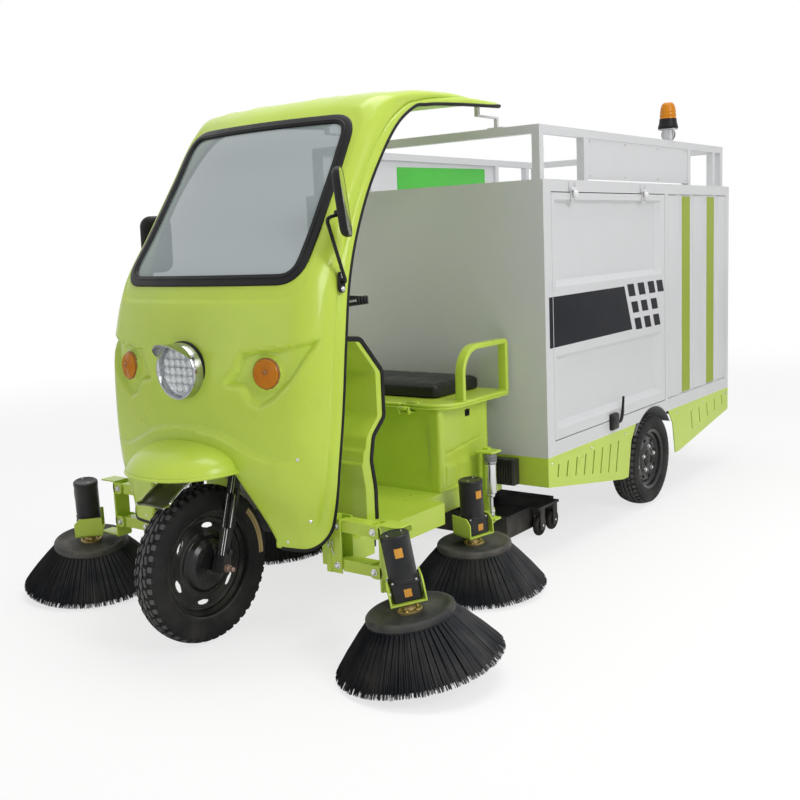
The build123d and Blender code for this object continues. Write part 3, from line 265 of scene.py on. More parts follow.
def cut(points, hole, wrapV=False):
    # an open grid without the faces where hole is below zero: a point just inside slides on to the edge,
    # by its depth times the hole's slope along the surface, over that slope's square
    part, faces = grid(points, wrapV=wrapV)
    quads = faces[0][hole.ravel()[faces[0]].mean(-1) > 0]
    used = np.unique(quads)
    index = np.full(len(part), -1)
    index[used] = np.arange(len(used))
    p, h = [np.concatenate([a[:, -1:], a, a[:, :1]], 1) if wrapV else a for a in (points, hole)]
    slope = 0
    for axis in (0, 1):
        pd, hd = np.gradient(p, axis=axis), np.gradient(h, axis=axis)
        if wrapV:
            pd, hd = pd[:, 1:-1], hd[:, 1:-1]
        slope = slope + hd[..., None] * pd / np.maximum((pd ** 2).sum(-1, keepdims=True), 1e-12)
    slope = slope.reshape(-1, 3)
    depth = np.minimum(hole.ravel(), 0)[:, None]
    moved = part - depth * slope / np.maximum((slope ** 2).sum(-1, keepdims=True), 0.2)
    return moved[used], [index[quads]]


def show(name, data):
    # an object for a mesh, lamp or camera, in the scene
    made = bpy.data.objects.new(name, data)
    scene.collection.objects.link(made)
    return made


def putPiece(name, part, body, look, replaces=(), sharp=35, tidy=True, outward=True):
    # the shape as one object riding on a body; close points are merged and faces turned outwards
    v, faces = part if isinstance(part, tuple) else join(part)
    mesh = bpy.data.meshes.new(name)
    widths = np.concatenate([np.full(len(f), f.shape[1]) for f in faces])
    loops = np.concatenate([f.ravel() for f in faces])
    mesh.vertices.add(len(v))
    mesh.vertices.foreach_set("co", np.asarray(v, np.float32).ravel())
    mesh.loops.add(len(loops))
    mesh.loops.foreach_set("vertex_index", loops.astype(np.int32))
    mesh.polygons.add(len(widths))
    mesh.polygons.foreach_set("loop_start", (np.cumsum(widths) - widths).astype(np.int32))
    mesh.update(calc_edges=True)
    mesh.validate()
    if tidy:
        bm = bmesh.new()
        bm.from_mesh(mesh)
        bmesh.ops.remove_doubles(bm, verts=bm.verts, dist=2e-6)
        bmesh.ops.dissolve_degenerate(bm, edges=bm.edges, dist=1e-7)
        if outward:
            bmesh.ops.recalc_face_normals(bm, faces=bm.faces)
        bm.to_mesh(mesh)
        bm.free()
    mesh.shade_smooth()
    mesh.set_sharp_from_angle(angle=np.radians(sharp))
    mesh.materials.append(finish[look])
    piece = show(name, mesh)
    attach(piece, body)
    if replaces:
        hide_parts(*replaces)
    return piece


def thicken(piece, thick, offset=-1.0):
    # a wall of that thickness behind an open surface
    wall = piece.modifiers.new("wall", "SOLIDIFY")
    wall.thickness, wall.offset, wall.use_even_offset = thick, offset, False


# colour, roughness, metal, coat, specular, variation of tone, bump, scale of the bump's noise, dust near the ground
looks = dict(
    cab_green=((0.535, 0.7, 0.075), 0.32, 0, 0.25, 0.32, 0.05, 0.012, 170, 0.03),
    box_white=((0.675, 0.68, 0.69), 0.34, 0, 0.1, 0.3, 0.015, 0.01, 140, 0.05),
    frame_black=((0.016, 0.017, 0.019), 0.48, 0, 0, 0.22, 0.25, 0.05, 240, 0.35),
    rim_black=((0.01, 0.01, 0.011), 0.24, 0, 0.15, 0.3, 0.2, 0.02, 200, 0.1),
    tyre_rubber=((0.013, 0.013, 0.014), 0.66, 0, 0, 0.2, 0.3, 0.1, 520, 0.1),
    # lighter rubber for the tread tops: wear with a painted highlight
    worn_and_highlit_rubber=((0.072, 0.072, 0.074), 0.6, 0, 0, 0.3, 0.35, 0.1, 420, 0.15),
    tan_rubber=((0.4, 0.29, 0.13), 0.6, 0, 0, 0.5, 0.25, 0.05, 300, 0),
    black_plastic=((0.013, 0.013, 0.014), 0.4, 0, 0, 0.22, 0.2, 0.06, 600, 0.2),
    bristle_black=((0.014, 0.016, 0.021), 0.52, 0, 0, 0.25, 0.5, 0.05, 300, 0.15),
    battery_case=((0.05, 0.055, 0.06), 0.5, 0, 0, 0.5, 0.2, 0.05, 300, 0.2),
    seat_cover=((0.014, 0.014, 0.016), 0.36, 0, 0, 0.3, 0.2, 0.22, 330, 0.1),
    clear_glass=((0.26, 0.32, 0.33), 0.03, 0, 0, 0.5, 0, 0, 10, 0),
    lamp_lens=((0.8, 0.86, 0.88), 0.03, 0, 0, 0.5, 0, 0, 10, 0),
    amber_lens=((0.6, 0.21, 0.001), 0.14, 0, 0.15, 0.2, 0.15, 0.18, 130, 0),
    amber_rim=((0.36, 0.13, 0.012), 0.25, 0, 0.2, 0.5, 0.2, 0.02, 200, 0),
    fender_chrome=((0.15, 0.14, 0.125), 0.3, 0.75, 0, 0.5, 0.25, 0.02, 120, 0.15),
    lamp_chrome=((0.5, 0.51, 0.53), 0.12, 1, 0, 0.5, 0.06, 0.01, 90, 0),
    lamp_cell=((0.86, 0.88, 0.9), 0.16, 0.3, 0.5, 0.5, 0.08, 0.03, 160, 0),
    grey_metal=((0.42, 0.43, 0.44), 0.34, 0.9, 0, 0.5, 0.12, 0.04, 260, 0.15),
    yellow_zinc=((0.55, 0.43, 0.19), 0.33, 0.9, 0, 0.5, 0.3, 0.05, 200, 0.1),
    bright_steel=((0.66, 0.66, 0.67), 0.24, 1, 0, 0.5, 0.1, 0.03, 240, 0.05),
    worn_bolt=((0.36, 0.25, 0.2), 0.45, 0.8, 0, 0.5, 0.3, 0.05, 300, 0),
    seal_rubber=((0.008, 0.008, 0.009), 0.42, 0, 0, 0.2, 0.25, 0.05, 420, 0.08),
    motor_black=((0.012, 0.013, 0.016), 0.34, 0, 0, 0.25, 0.25, 0.03, 260, 0.2),
    brush_disc=((0.036, 0.037, 0.038), 0.6, 0, 0, 0.25, 0.35, 0.1, 150, 0.45),
    label_orange=((0.72, 0.33, 0.045), 0.35, 0, 0, 0.3, 0.08, 0.02, 200, 0.05),
    stripe_black=((0.011, 0.012, 0.017), 0.24, 0, 0, 0.12, 0.06, 0.012, 140, 0),
    stripe_green=((0.31, 0.41, 0.025), 0.34, 0, 0, 0.18, 0.02, 0.012, 140, 0),
    panel_green=((0.05, 0.5, 0.03), 0.35, 0, 0.2, 0.5, 0.06, 0.012, 140, 0),
    knob_white=((0.86, 0.86, 0.85), 0.35, 0, 0.2, 0.5, 0.04, 0.02, 200, 0.05),
    wheel_arch=((0.16, 0.17, 0.175), 0.5, 0.3, 0, 0.5, 0.15, 0.04, 200, 0.3),
)
# shared by all finishes; each noise is its scale and detail, and heights are above the ground
surface = dict(coatRough=0.06, tone=(2.3, 4.0), gloss=(11.0, 5.0), patches=(7.0, 8.0), patchRange=(0.38, 0.72),
    grainDetail=2.0, dustColour=(0.33, 0.3, 0.25), dustHeights=(0.05, 0.75), glossRange=(0.85, 1.18), bumpDepth=0.0012)


def setInputs(node, **values):
    # sets a shader node's inputs, named with _ for a space
    for name, value in values.items():
        node.inputs[name.replace("_", " ")].default_value = value


def mixColours(tree, factor, *colours):
    # a blend of two colours, each one a value or a socket
    mix = tree.nodes.new("ShaderNodeMix")
    mix.data_type = "RGBA"
    tree.links.new(factor, mix.inputs[0])
    for socket, colour in zip(mix.inputs[6:8], colours):
        if isinstance(colour, tuple):
            socket.default_value = (*colour, 1)
        else:
            tree.links.new(colour, socket)
    return mix.outputs[2]


def makeFinish(name, colour, rough, metal, coat, spec, vary, bump, grain, dust):
    # colour and roughness drift with a slow noise, dust gathers towards the ground, and a fine noise lifts the surface
    material = bpy.data.materials.new(name + "_finish")
    material.use_nodes = True
    tree = material.node_tree
    add, wire = tree.nodes.new, tree.links.new
    shader = tree.nodes["Principled BSDF"]
    setInputs(shader, Metallic=metal, Coat_Weight=coat, Specular_IOR_Level=spec, Coat_Roughness=surface["coatRough"])
    here = add("ShaderNodeTexCoord").outputs["Object"]

    def noise(scale, detail):
        n = add("ShaderNodeTexNoise")
        setInputs(n, Scale=scale, Detail=detail)
        wire(here, n.inputs["Vector"])
        return n.outputs["Fac"]

    def mapRange(value, low, high, toLow, toHigh):
        n = add("ShaderNodeMapRange")
        setInputs(n, From_Min=low, From_Max=high, To_Min=toLow, To_Max=toHigh)
        wire(value, n.inputs["Value"])
        return n.outputs["Result"]

    dark, light = (tuple(min(1, c * (1 + by)) for c in colour) for by in (-vary, vary))
    base = mixColours(tree, mapRange(noise(*surface["tone"]), 0.3, 0.7, 0, 1), dark, light)
    smooth, matt = surface["glossRange"]
    roughness = mapRange(noise(*surface["gloss"]), 0.3, 0.7, rough * smooth, min(1, rough * matt))
    if dust:  # its share falls with height and is broken by a noise
        split, share = add("ShaderNodeSeparateXYZ"), add("ShaderNodeMath")
        share.operation = "MULTIPLY"
        wire(here, split.inputs[0])
        wire(mapRange(split.outputs["Z"], *surface["dustHeights"], dust, 0), share.inputs[0])
        wire(mapRange(noise(*surface["patches"]), *surface["patchRange"], 0, 1), share.inputs[1])
        base = mixColours(tree, share.outputs[0], base, surface["dustColour"])
    wire(base, shader.inputs["Base Color"])
    wire(roughness, shader.inputs["Roughness"])
    if bump:
        lift = add("ShaderNodeBump")
        setInputs(lift, Strength=min(1, bump * 4), Distance=surface["bumpDepth"])
        wire(noise(grain, surface["grainDetail"]), lift.inputs["Height"])
        wire(lift.outputs["Normal"], shader.inputs["Normal"])
    return material


finish = {name: makeFinish(name, *look) for name, look in looks.items()}
for name, values in (("clear_glass", dict(Transmission_Weight=0.0, Alpha=0.85)), ("lamp_lens", dict(Alpha=0.1)),
        ("amber_lens", dict(Emission_Color=(1.0, 0.25, 0.02, 1), Emission_Strength=0.03))):
    setInputs(finish[name].node_tree.nodes["Principled BSDF"], **values)
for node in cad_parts.values():
    for holder in node.material_slots:
        name = holder.material.name.split(".")[0]
        if name in finish:
            holder.material = finish[name]
        else:
            print("no finish for", name, node.name)
print("finishes made")

# the cab
cab = dict(
    # centre ahead, centre height, half width, bow, corner, edge ahead, edge height, in mm, ahead of the load box and
    # above the floor
    rows=((1440, 398, 544, 40, 130, 1339, 398), (1440, 430, 545, 40, 130, 1335, 430),
        (1488, 640, 550, 50, 130, 1310, 640), (1503, 880, 550, 55, 130, 1266, 880),
        (1478, 1150, 550, 55, 125, 1228, 1150), (1418, 1350, 538, 55, 120, 1180, 1350),
        (1285, 1550, 528, 56, 118, 1098, 1550), (1152, 1750, 518, 57, 115, 975, 1745),
        (1020, 1950, 505, 60, 110, 789, 1940), (930, 2020, 500, 45, 90, 690, 1995),
        (760, 2060, 500, 30, 50, 600, 2012), (480, 2082, 500, 20, 35, 400, 2028), (60, 2070, 500, 15, 25, 40, 2045)),
    wall=5 * mm, columns=81, lowerRows=118, screenRows=40, roofRows=44,
    screen=dict(low=1368, high=1948, lowHalf=452, highHalf=421, corner=62),
    screenPanel=dict(low=1288, high=1986, lowHalf=492, highHalf=460, corner=80, depth=6),
    lampPad=((266, 1119), (432, 1138), (543, 1163), (539, 1131), (474, 1009), (407, 943),
        (348, 915), (293, 936), (266, 985), (201, 993), (194, 1012), (233, 1053)),
    lampDepth=24, bossAt=(371, 1044), bossRadius=60, bossLift=13,
    swoosh=((-20, 840), (90, 836), (191, 817), (275, 779), (381, 742), (479, 739)), swooshLift=18,
    arch=((0, 722), (150, 716), (200, 706), (221, 693), (268, 598), (301, 515), (336, 440), (341, 380)),
    groove=46, grooveWidth=12, grooveDepth=9, cornerRadius=95 * mm, roofRidges=(0.16, 0.33),
    bolts=((0.481, 0.742, 0.007), (0.488, 0.511, 0.007), (0.39, 0.425, 0.006)),
)
lastColumn = cab["columns"] - 1


def cabGrid():
    # each row is half a section: a bowed front, a round corner and a straight side, cut where it meets the side
    # opening, and the rows are joined by a smooth curve up the front and back over the roof
    table = np.array(cab["rows"], float) * mm
    knots = runOf(table[:, :2])
    high, roof = np.interp((1.35, 1.96), table[:9, 1], knots[:9])
    at = np.concatenate([np.linspace(0, high, cab["lowerRows"], endpoint=False),
            np.linspace(high, roof, cab["screenRows"], endpoint=False), np.linspace(roof, knots[-1], cab["roofRows"])])
    ahead, height, half, bow, corner, edgeAhead, edgeHeight = smoothThrough(knots, table, at).T
    deep = np.hypot(edgeAhead - ahead, edgeHeight - height)
    run = np.linspace(0, 1.2, 600)[None]  # distance along a section
    front = (half - corner)[:, None]
    lean = (2 * bow / (half - corner))[:, None]
    angle = lean * np.clip(run / front, 0, 1)
    angle = angle + (np.pi / 2 - lean) * np.clip((run - front) / (corner[:, None] * (np.pi / 2 - lean)), 0, 1)
    x, t = (np.cumsum(turned, 1) * run[0, 1] for turned in (np.cos(angle), np.sin(angle)))
    x *= half[:, None] / x[:, -1:]
    rows, lengths = [], []
    for i in range(len(at)):  # one cut for each row
        end = np.interp(deep[i], t[i], run[0])
        where = np.linspace(0, end, cab["columns"])
        rows.append(beside(np.interp(where, run[0], x[i]), np.interp(where, run[0], t[i])))
        lengths.append(end)
    rows = np.array(rows)
    rows[:, 0] = 0
    share = rows[..., 1] / deep[:, None]
    points = beside(rows[..., 0], boxFront - (ahead[:, None] + share * (edgeAhead - ahead)[:, None]),
        height[:, None] + share * (edgeHeight - height)[:, None])
    return points, np.array(lengths)


cabPoints, cabLengths = cabGrid()


def sample(values, row, column):
    # values between the grid's rows and columns
    r = np.clip(row, 0, values.shape[0] - 1.001)
    c = np.clip(column, 0, values.shape[1] - 1.001)
    i, j = r.astype(int), c.astype(int)
    fr, fc = (r - i)[..., None], (c - j)[..., None]
    return ((1 - fr) * ((1 - fc) * values[i, j] + fc * values[i, j + 1])
        + fr * ((1 - fc) * values[i + 1, j] + fc * values[i + 1, j + 1]))


def panelOutline(shape):
    # a trapezium with round corners, in metres across and up
    low, high, lowHalf, highHalf = (shape[k] * mm for k in ("low", "high", "lowHalf", "highHalf"))
    corners = np.array([(lowHalf, low, 0), (highHalf, high, 0), (-highHalf, high, 0), (-lowHalf, low, 0)])
    return bend(corners, shape["corner"] * mm * 1.3, 8, closed=True)[:, :2]


def dressCab():
    # the pressings, as heights along the outward direction, which is square to the grid's two tangents
    p = cabPoints
    x, z = p[..., 0], p[..., 2]
    out = unit(np.cross(np.gradient(p, axis=1), np.gradient(p, axis=0)))
    edgeGap = (1 - np.linspace(0, 1, cab["columns"]))[None] * cabLengths[:, None]
    pad = outlineDistance(np.array(cab["lampPad"]) * mm, x, z)
    boss = np.hypot(x - cab["bossAt"][0] * mm, z - cab["bossAt"][1] * mm) - cab["bossRadius"] * mm
    floorBevel = 12 * mm + 16 * mm * step(-z, -1.06, -0.98)  # the lower side slopes more gently
    lift = -cab["lampDepth"] * mm * step(-pad / floorBevel, 0.0, 1.0)
    lift += cab["bossLift"] * mm * step(-boss, -4 * mm, 5 * mm) * step(-pad, 0, 4 * mm)
    line = np.array(cab["swoosh"], float) * mm
    below = smoothThrough(line[:, 0], line[:, 1:], np.clip(x.ravel(), -0.02, 0.479))[:, 0].reshape(x.shape) - z
    bulge = step(below, -2 * mm, 13 * mm) * (1 - step(below, 30 * mm, 260 * mm))
    lift += cab["swooshLift"] * mm * bulge * (1 - step(x, 0.4, 0.5))
    panel = outlineDistance(panelOutline(cab["screenPanel"]), x, z)
    lift -= cab["screenPanel"]["depth"] * mm * step(-panel, 0, 11 * mm) * (z < 2.0)
    groove = (edgeGap - cab["groove"] * mm) / (cab["grooveWidth"] * mm)
    fade = step(z, 0.44, 0.52)
    lift -= cab["grooveDepth"] * mm * np.exp(-groove ** 2) * fade
    lift += 2.5 * mm * step(cab["groove"] * mm - edgeGap, 0, 12 * mm) * fade
    for ridge in cab["roofRidges"]:
        ends = step(-p[..., 1], 0.45, 0.55) * (z > 2.0) * step(1.26 + p[..., 1], 0, 0.1)
        lift += 3.5 * mm * np.exp(-((x - ridge) / 0.016) ** 2) * ends
    return p + lift[..., None] * out, out, edgeGap


cabDressed, cabOut, cabEdgeGap = dressCab()


def onCab(x, z, lift=0.0):
    # points on the dressed cab at those places across and up, and the outward direction there: the row and the column
    # are put right in turn
    x, z = np.atleast_1d(np.asarray(x, float)), np.atleast_1d(np.asarray(z, float))
    rise = cabPoints[:, 0, 2]
    top = int(np.argmax(rise))
    row = np.interp(z, rise[:top], np.arange(top))
    for _ in range(3):
        shape = row.shape + (cab["columns"],)
        across = sample(cabPoints[..., :1], np.broadcast_to(row[..., None], shape),
            np.broadcast_to(np.arange(lastColumn + 1.0), shape))[..., 0]
        column = np.clip(np.sum(across < np.abs(x)[..., None], -1) - 1, 0, lastColumn - 1)
        low, high = (np.take_along_axis(across, column[..., None] + k, -1)[..., 0] for k in (0, 1))
        column = column + np.clip((np.abs(x) - low) / np.maximum(high - low, 1e-9), 0, 1)
        found = sample(cabPoints, row, column)
        row = row + (z - found[..., 2]) / np.maximum(np.gradient(rise)[np.clip(row.astype(int), 0, 190)], 1e-3)
    point, out = sample(cabDressed, row, column), unit(sample(cabOut, row, column))
    side = np.where(x < 0, -1.0, 1.0)[:, None] * [1, 0, 0] + [0, 1, 1]
    return (point + out * lift) * side, out * side


def cabShell():
    # both halves of the dressed grid, with the screen and the wheel arch cut out and the lower corners rounded off
    whole, flat = (np.concatenate([half[:, :0:-1] * [-1, 1, 1], half], 1) for half in (cabDressed, cabPoints))
    gap = np.concatenate([cabEdgeGap[:, :0:-1], cabEdgeGap], 1)
    x, z = flat[..., 0], flat[..., 2]
    screen = outlineDistance(panelOutline(cab["screen"]), x, z) + (z > 2.0)
    arch = np.array(cab["arch"]) * mm
    arch = outlineDistance(np.vstack([arch, arch[:0:-1] * [-1, 1]]), x, z)
    r = cab["cornerRadius"]
    corner = r - np.hypot(np.maximum(r - gap, 0), np.maximum(r - (z - cabPoints[0, 0, 2]), 0))
    return cut(whole, np.minimum(np.minimum(screen, arch), corner))


thicken(putPiece("cab_shell_moulding", cabShell(), "chassis", "cab_green", ("cab_shell",), sharp=50, outward=False),
    cab["wall"])


def ringOnCab(outline, lift, wide, deep, radius):
    # a closed strip with round edges laid on the cab along an outline
    return carry(roundRect(wide, deep, radius, 3), *onCab(outline[:, 0], outline[:, 1], lift), closed=True)


screenEdge = evenly(panelOutline(cab["screen"]), 240)
putPiece("screen_seal", [ringOnCab(screenEdge, 0.004, 0.044, 0.014, 0.005),
        ringOnCab(evenly(inset(screenEdge, 0.007), 240), 0.009, 0.01, 0.009, 0.003)],
    "chassis", "seal_rubber", ("windscreen",))
# the glass is rings from the screen's edge to its middle, each lying on the cab a little below the seal's top
paneEdge = evenly(inset(screenEdge, 3 * mm), 240)
paneRings = [paneEdge.mean(0) + (paneEdge - paneEdge.mean(0)) * share for share in np.linspace(1, 0.0, 26)]
paneRings = [onCab(ring[:, 0], ring[:, 1], 2 * mm)[0] for ring in paneRings]
putPiece("screen_glass", grid(np.array(paneRings), wrapV=True), "chassis", "clear_glass", outward=False)


def cabEdgePath():
    # down the side opening, round the lower corner and in along the bottom to the wheel arch, as (distance in, row)
    rows = np.arange(len(cabPoints) - 1, -1, -1.0)
    r, low = cab["cornerRadius"], cabPoints[0, 0, 2]
    keep = sample(cabPoints[..., 2:], rows, np.full(len(rows), float(lastColumn)))[:, 0] > low + r
    down = beside(0.0, rows[keep])
    angle = np.linspace(0, np.pi / 2, 14)
    turn = beside(r - r * np.cos(angle), np.interp(low + r - r * np.sin(angle), cabPoints[:60, -1, 2], np.arange(60)))
    inward = beside(np.linspace(r, cabLengths[0] - 0.345, 24)[1:], 0.0)
    path = np.vstack([down, turn, inward])
    column = (1 - path[:, 0] / np.interp(path[:, 1], np.arange(len(cabLengths)), cabLengths)) * lastColumn
    point, out = sample(cabDressed, path[:, 1], column), unit(sample(cabOut, path[:, 1], column))
    keep = np.concatenate([[True], np.linalg.norm(np.diff(point, axis=0), axis=-1) > 1e-4])
    return point[keep], out[keep]


putPiece("cab_edge_trim", bothSides(carry(roundRect(13 * mm, 17 * mm, 4 * mm, 3), *cabEdgePath())), "chassis",
    "seal_rubber")
archPoint, archOut = onCab(*(evenly(np.array(cab["arch"][2:-1]) * mm, 60, closed=False).T), -1 * mm)
putPiece("cab_arch_lip", bothSides(tube(archPoint, 5 * mm, 10, archOut)), "chassis", "cab_green")
cabBolts = [bolt(point[0], out[0], size) for point, out, size in ((*onCab(x, z), size) for x, z, size in cab["bolts"])]
putPiece("cab_bolts", bothSides(*cabBolts), "chassis", "bright_steel")
print("cab shell, screen and trim made")

# lamps and the cowl over the front wheel
lamp = dict(height=1.046, radius=0.104, reach=0.05, visor=0.062, visorHalf=60, cells=5, cellGap=0.0305, cellLimit=0.08,
    lens=0.0925)
signal = dict(across=0.371, height=1.044, radius=0.054)


def headlight():
    # a bowl, and a visor: a thin curved sheet over the top, its front edge a rounded point
    r, reach = lamp["radius"], lamp["reach"]
    housing = lathe([(-0.012, 0), (-0.012, r - 0.006), (-0.012, r), (reach - 0.004, r), (reach, r - 0.002),
            (reach, r - 0.006), (reach - 0.004, r - 0.009), (0.032, r - 0.011), (0.026, r - 0.014), (0.022, 0.0)],
        count=96)
    angle = np.radians(np.linspace(-lamp["visorHalf"], lamp["visorHalf"], 61))
    out = 0.006 + lamp["visor"] * np.clip(np.cos(angle * 90 / lamp["visorHalf"]), 0, 1) ** 0.75
    share = np.linspace(0, 1, 15)[:, None]
    radii = [r + skin + 0.004 * share ** 2 for skin in (0.0012, -0.0012)]
    skins = [beside(radius * np.sin(angle), radius * np.cos(angle), reach - 0.006 + share * out[None])
        for radius in radii]
    ends = [grid(np.stack([skins[0][:, k], skins[1][:, k]], 1)) for k in (0, -1)]
    return join([housing, grid(np.concatenate([skins[0], skins[1][::-1]]), wrapU=True)] + ends)


lampMatrix = axes(onCab(0, lamp["height"])[0][0], (0, -1, -0.03))
cellAt = (np.arange(lamp["cells"]) - (lamp["cells"] - 1) / 2) * lamp["cellGap"]
cup = [(0.024, 0), (0.024, 0.0142), (0.034, 0.0139), (0.034, 0.0124), (0.028, 0.0098), (0.026, 0.0052),
    (0.0305, 0.0037), (0.032, 0)]
cells = [lathe(cup, (column, row, 0), count=14) for row in cellAt for column in cellAt
    if np.hypot(row, column) < lamp["cellLimit"]]
dome = [(0.039 + 0.006 * (1 - (r / lamp["lens"]) ** 2), r) for r in np.linspace(lamp["lens"], 0, 10)]
sealProfile = [(-0.006, 0.097), (-0.006, 0.108), (0.004, 0.1085), (0.006, 0.106), (0.006, 0.0995), (-0.006, 0.097)]
for name, shape, look, stands in (
        ("housing", headlight(), "lamp_chrome", ("headlight",)), ("cells", join(cells), "lamp_cell", ()),
        ("lens", lathe([(0.037, 0), (0.037, lamp["lens"])] + dome, count=64), "lamp_lens", ()),
        ("seal", lathe(sealProfile, count=80), "seal_rubber", ())):
    putPiece("headlight_" + name, place(shape, lampMatrix), "chassis", look, stands)

signalAt, signalOut = (row[0] for row in onCab(signal["across"], signal["height"]))
r = signal["radius"]
across = np.linspace(r - 0.003, 0.0, 40)
# height of the lens = an elliptic dome and fine rings
dome = 0.006 + 0.013 * np.sqrt(np.clip(1 - (across / (r + 0.001)) ** 2, 0, 1)) + 0.0013 * np.cos(
    across * 2 * np.pi / 0.0068)
signalParts = (
    ("lenses", lathe([(0.001, 0), (0.001, r - 0.003)] + list(zip(dome, across)), count=56), "amber_lens",
        ("turn_signals",)),
    ("rims", lathe([(-0.006, r - 0.006), (-0.006, r + 0.003), (0.004, r + 0.003), (0.007, r), (0.007, r - 0.003),
        (0.004, r - 0.0035), (-0.006, r - 0.006)], count=56), "amber_rim", ()),
    ("bulbs", lathe([(0.002, 0), (0.002, 0.01), (0.0205, 0.0095), (0.0225, 0.007), (0.0235, 0)], (0.006, -0.006, 0),
        count=20), "amber_rim", ()))
for name, shape, look, stands in signalParts:
    putPiece("turn_signal_" + name, bothSides(place(shape, axes(signalAt, signalOut * [1, 1, 0.6], upwards))),
        "chassis", look, stands)

fairing = dict(half=0.243, rootHalf=0.232, reach=0.232, rootHeight=0.69, rimHeight=0.684, crownHeight=0.786, wall=0.004)


def noseFairing():
    # across it an angle runs from side to side; outwards a quadratic curve runs from the cab, over a shoulder,
    # to the rim
    angle = np.radians(np.linspace(-90, 90, 73))
    rootZ = fairing["rootHeight"] + (fairing["crownHeight"] - fairing["rootHeight"]) * np.cos(angle) ** 0.72
    root = onCab(fairing["rootHalf"] * np.sin(angle), rootZ, -0.002)[0]
    backY = onCab(fairing["half"], fairing["rootHeight"])[0][0, 1]
    rim = beside(fairing["half"] * np.sin(angle), backY - fairing["reach"] * np.cos(angle) ** 0.9,
        fairing["rimHeight"] + 0.006 * np.sin(angle) ** 4)
    shares = np.array([0.96, 0.8, 0.2])  # the shoulder's shares of the rim
    s = np.linspace(0, 1, 26)[:, None, None]
    body = (1 - s) ** 2 * root + 2 * s * (1 - s) * (shares * rim + (1 - shares) * root) + s ** 2 * rim
    return body, root, rim


fairingBody, fairingRoot, fairingRim = noseFairing()
thicken(putPiece("nose_fairing_shell", grid(fairingBody[:, ::-1]), "chassis", "cab_green", ("nose_fairing",),
        outward=False), fairing["wall"])
putPiece("nose_fairing_lip", carry(roundRect(0.017, 0.012, 0.0055, 4), fairingRim + [0, 0, -0.003], upwards), "chassis",
    "cab_green")
seam = onCab(fairingRoot[:, 0], fairingRoot[:, 2] + 0.001, 0.0005)[0]
putPiece("nose_fairing_seam", tube(seam, 0.0028, 8, (0, -1, 0)), "chassis", "seal_rubber")
print("lamps and fairing made")

# wheels: groove is the tread's depth, slots the side slots' share of a pitch
frontWheel = dict(centre=np.array((0, -1.776, 0.302)), radius=0.302, width=0.11, rim=0.212, rimWidth=0.086, pitches=46,
    groove=0.0085, columns=46, grooves=(-0.62, -0.21, 0.21, 0.62), crown=0.01, slots=0.4, vents=6, ventAt=0.148,
    vent=(0.027, 0.0095), disc=((0.004, 0.186), (0.01, 0.18), (0.012, 0.172), (0.008, 0.166), (0.01, 0.128),
        (0.014, 0.118), (0.016, 0.108), (0.034, 0.096), (0.044, 0.08), (0.05, 0.06), (0.053, 0.034), (0.054, 0.012),
        (0.054, 0.01)))
rearWheel = dict(centre=np.array((0.615, 0.873, 0.25)), radius=0.25, width=0.145, rim=0.16, rimWidth=0.12, pitches=46,
    groove=0.0065, columns=44, grooves=(-0.72, -0.36, 0.0, 0.36, 0.72), crown=0.012, slots=0.18, vents=8, ventAt=0.104,
    vent=(0.016, 0.0075), disc=((0.018, 0.131), (0.03, 0.126), (0.034, 0.116), (0.034, 0.092), (0.04, 0.08),
        (0.044, 0.06), (0.04, 0.05), (0.038, 0.034), (0.038, 0.0255)))
treadShare = 0.8  # of a tyre's half width


def turnedAbout(w, across, radius, angle, **wraps):
    # a grid of points about the wheel's axle
    return shift(grid(beside(across, radius * np.cos(angle), radius * np.sin(angle)), **wraps), w["centre"])


def tyre(w):
    # a closed ring: round it an angle, across it bead, sidewall, shoulder and tread, with zigzag grooves and side
    # slots cut in; the tread's height = radius - crown * (share of its half width) ^ 2.2
    half, big, rim, crown = w["width"] / 2, w["radius"], w["rim"], w["crown"]
    tread, high = half * treadShare, big - rim
    side = np.array([(half * 0.72, rim - 0.006), (tread, rim + 0.006), (half * 0.9, rim + 0.012),
            (half * 0.985, rim + 0.3 * high), (half * 0.995, rim + 0.47 * high), (half * 0.96, rim + 0.68 * high),
            (half * 0.9, rim + 0.83 * high), (tread, big - crown)])
    side = smoothThrough(np.linspace(0, 1, len(side)), side, np.linspace(0, 1, 22))
    lineAt = side[:, 1:] - rim - 0.3 * high - [0.012, 0.016]  # two fine raised lines round the sidewall
    side[:, 0] += (0.0012 * np.exp(-(lineAt / 0.0016) ** 2)).sum(-1)
    s = np.linspace(tread, -tread, w["columns"] + 2)[1:-1]
    top = beside(s, big - crown * np.abs(s / tread) ** 2.2)
    inner = np.array([(-half * 0.55, rim - 0.007), (0, rim - 0.008), (half * 0.55, rim - 0.007)])
    profile = np.vstack([side, top, side[::-1] * [-1, 1], inner])
    angle = angles(w["pitches"] * 12)[:, None]
    pitch = angle * w["pitches"] / (2 * np.pi)
    signed, radius = profile.T[:, None]
    across = np.abs(signed)
    zigzag = np.abs((pitch % 1) * 2 - 1) - 0.5
    depth = 0 * pitch * signed
    for at in w["grooves"]:
        gap = np.abs(signed - at * tread - np.sign(at + 1e-9) * 0.0065 * zigzag)
        depth = np.maximum(depth, 1 - step(gap, 0.0018, 0.0038))
    slot = (np.abs((pitch + 0.5 * (signed > 0)) % 1 - 0.5) < w["slots"] / 2) & (across > 0.74 * tread)
    notch = (np.abs((pitch + 0.25) % 1 - 0.5) < 0.1) & (across < 0.62 * tread) & (across > 0.3 * tread)
    depth = np.maximum(np.maximum(depth, slot * 0.9), notch * 0.55) * (radius > big - crown - 0.016)
    depth *= 1 - step(big - crown - radius, 0.004, 0.014)
    return turnedAbout(w, signed, radius - w["groove"] * depth, angle, wrapU=True, wrapV=True)


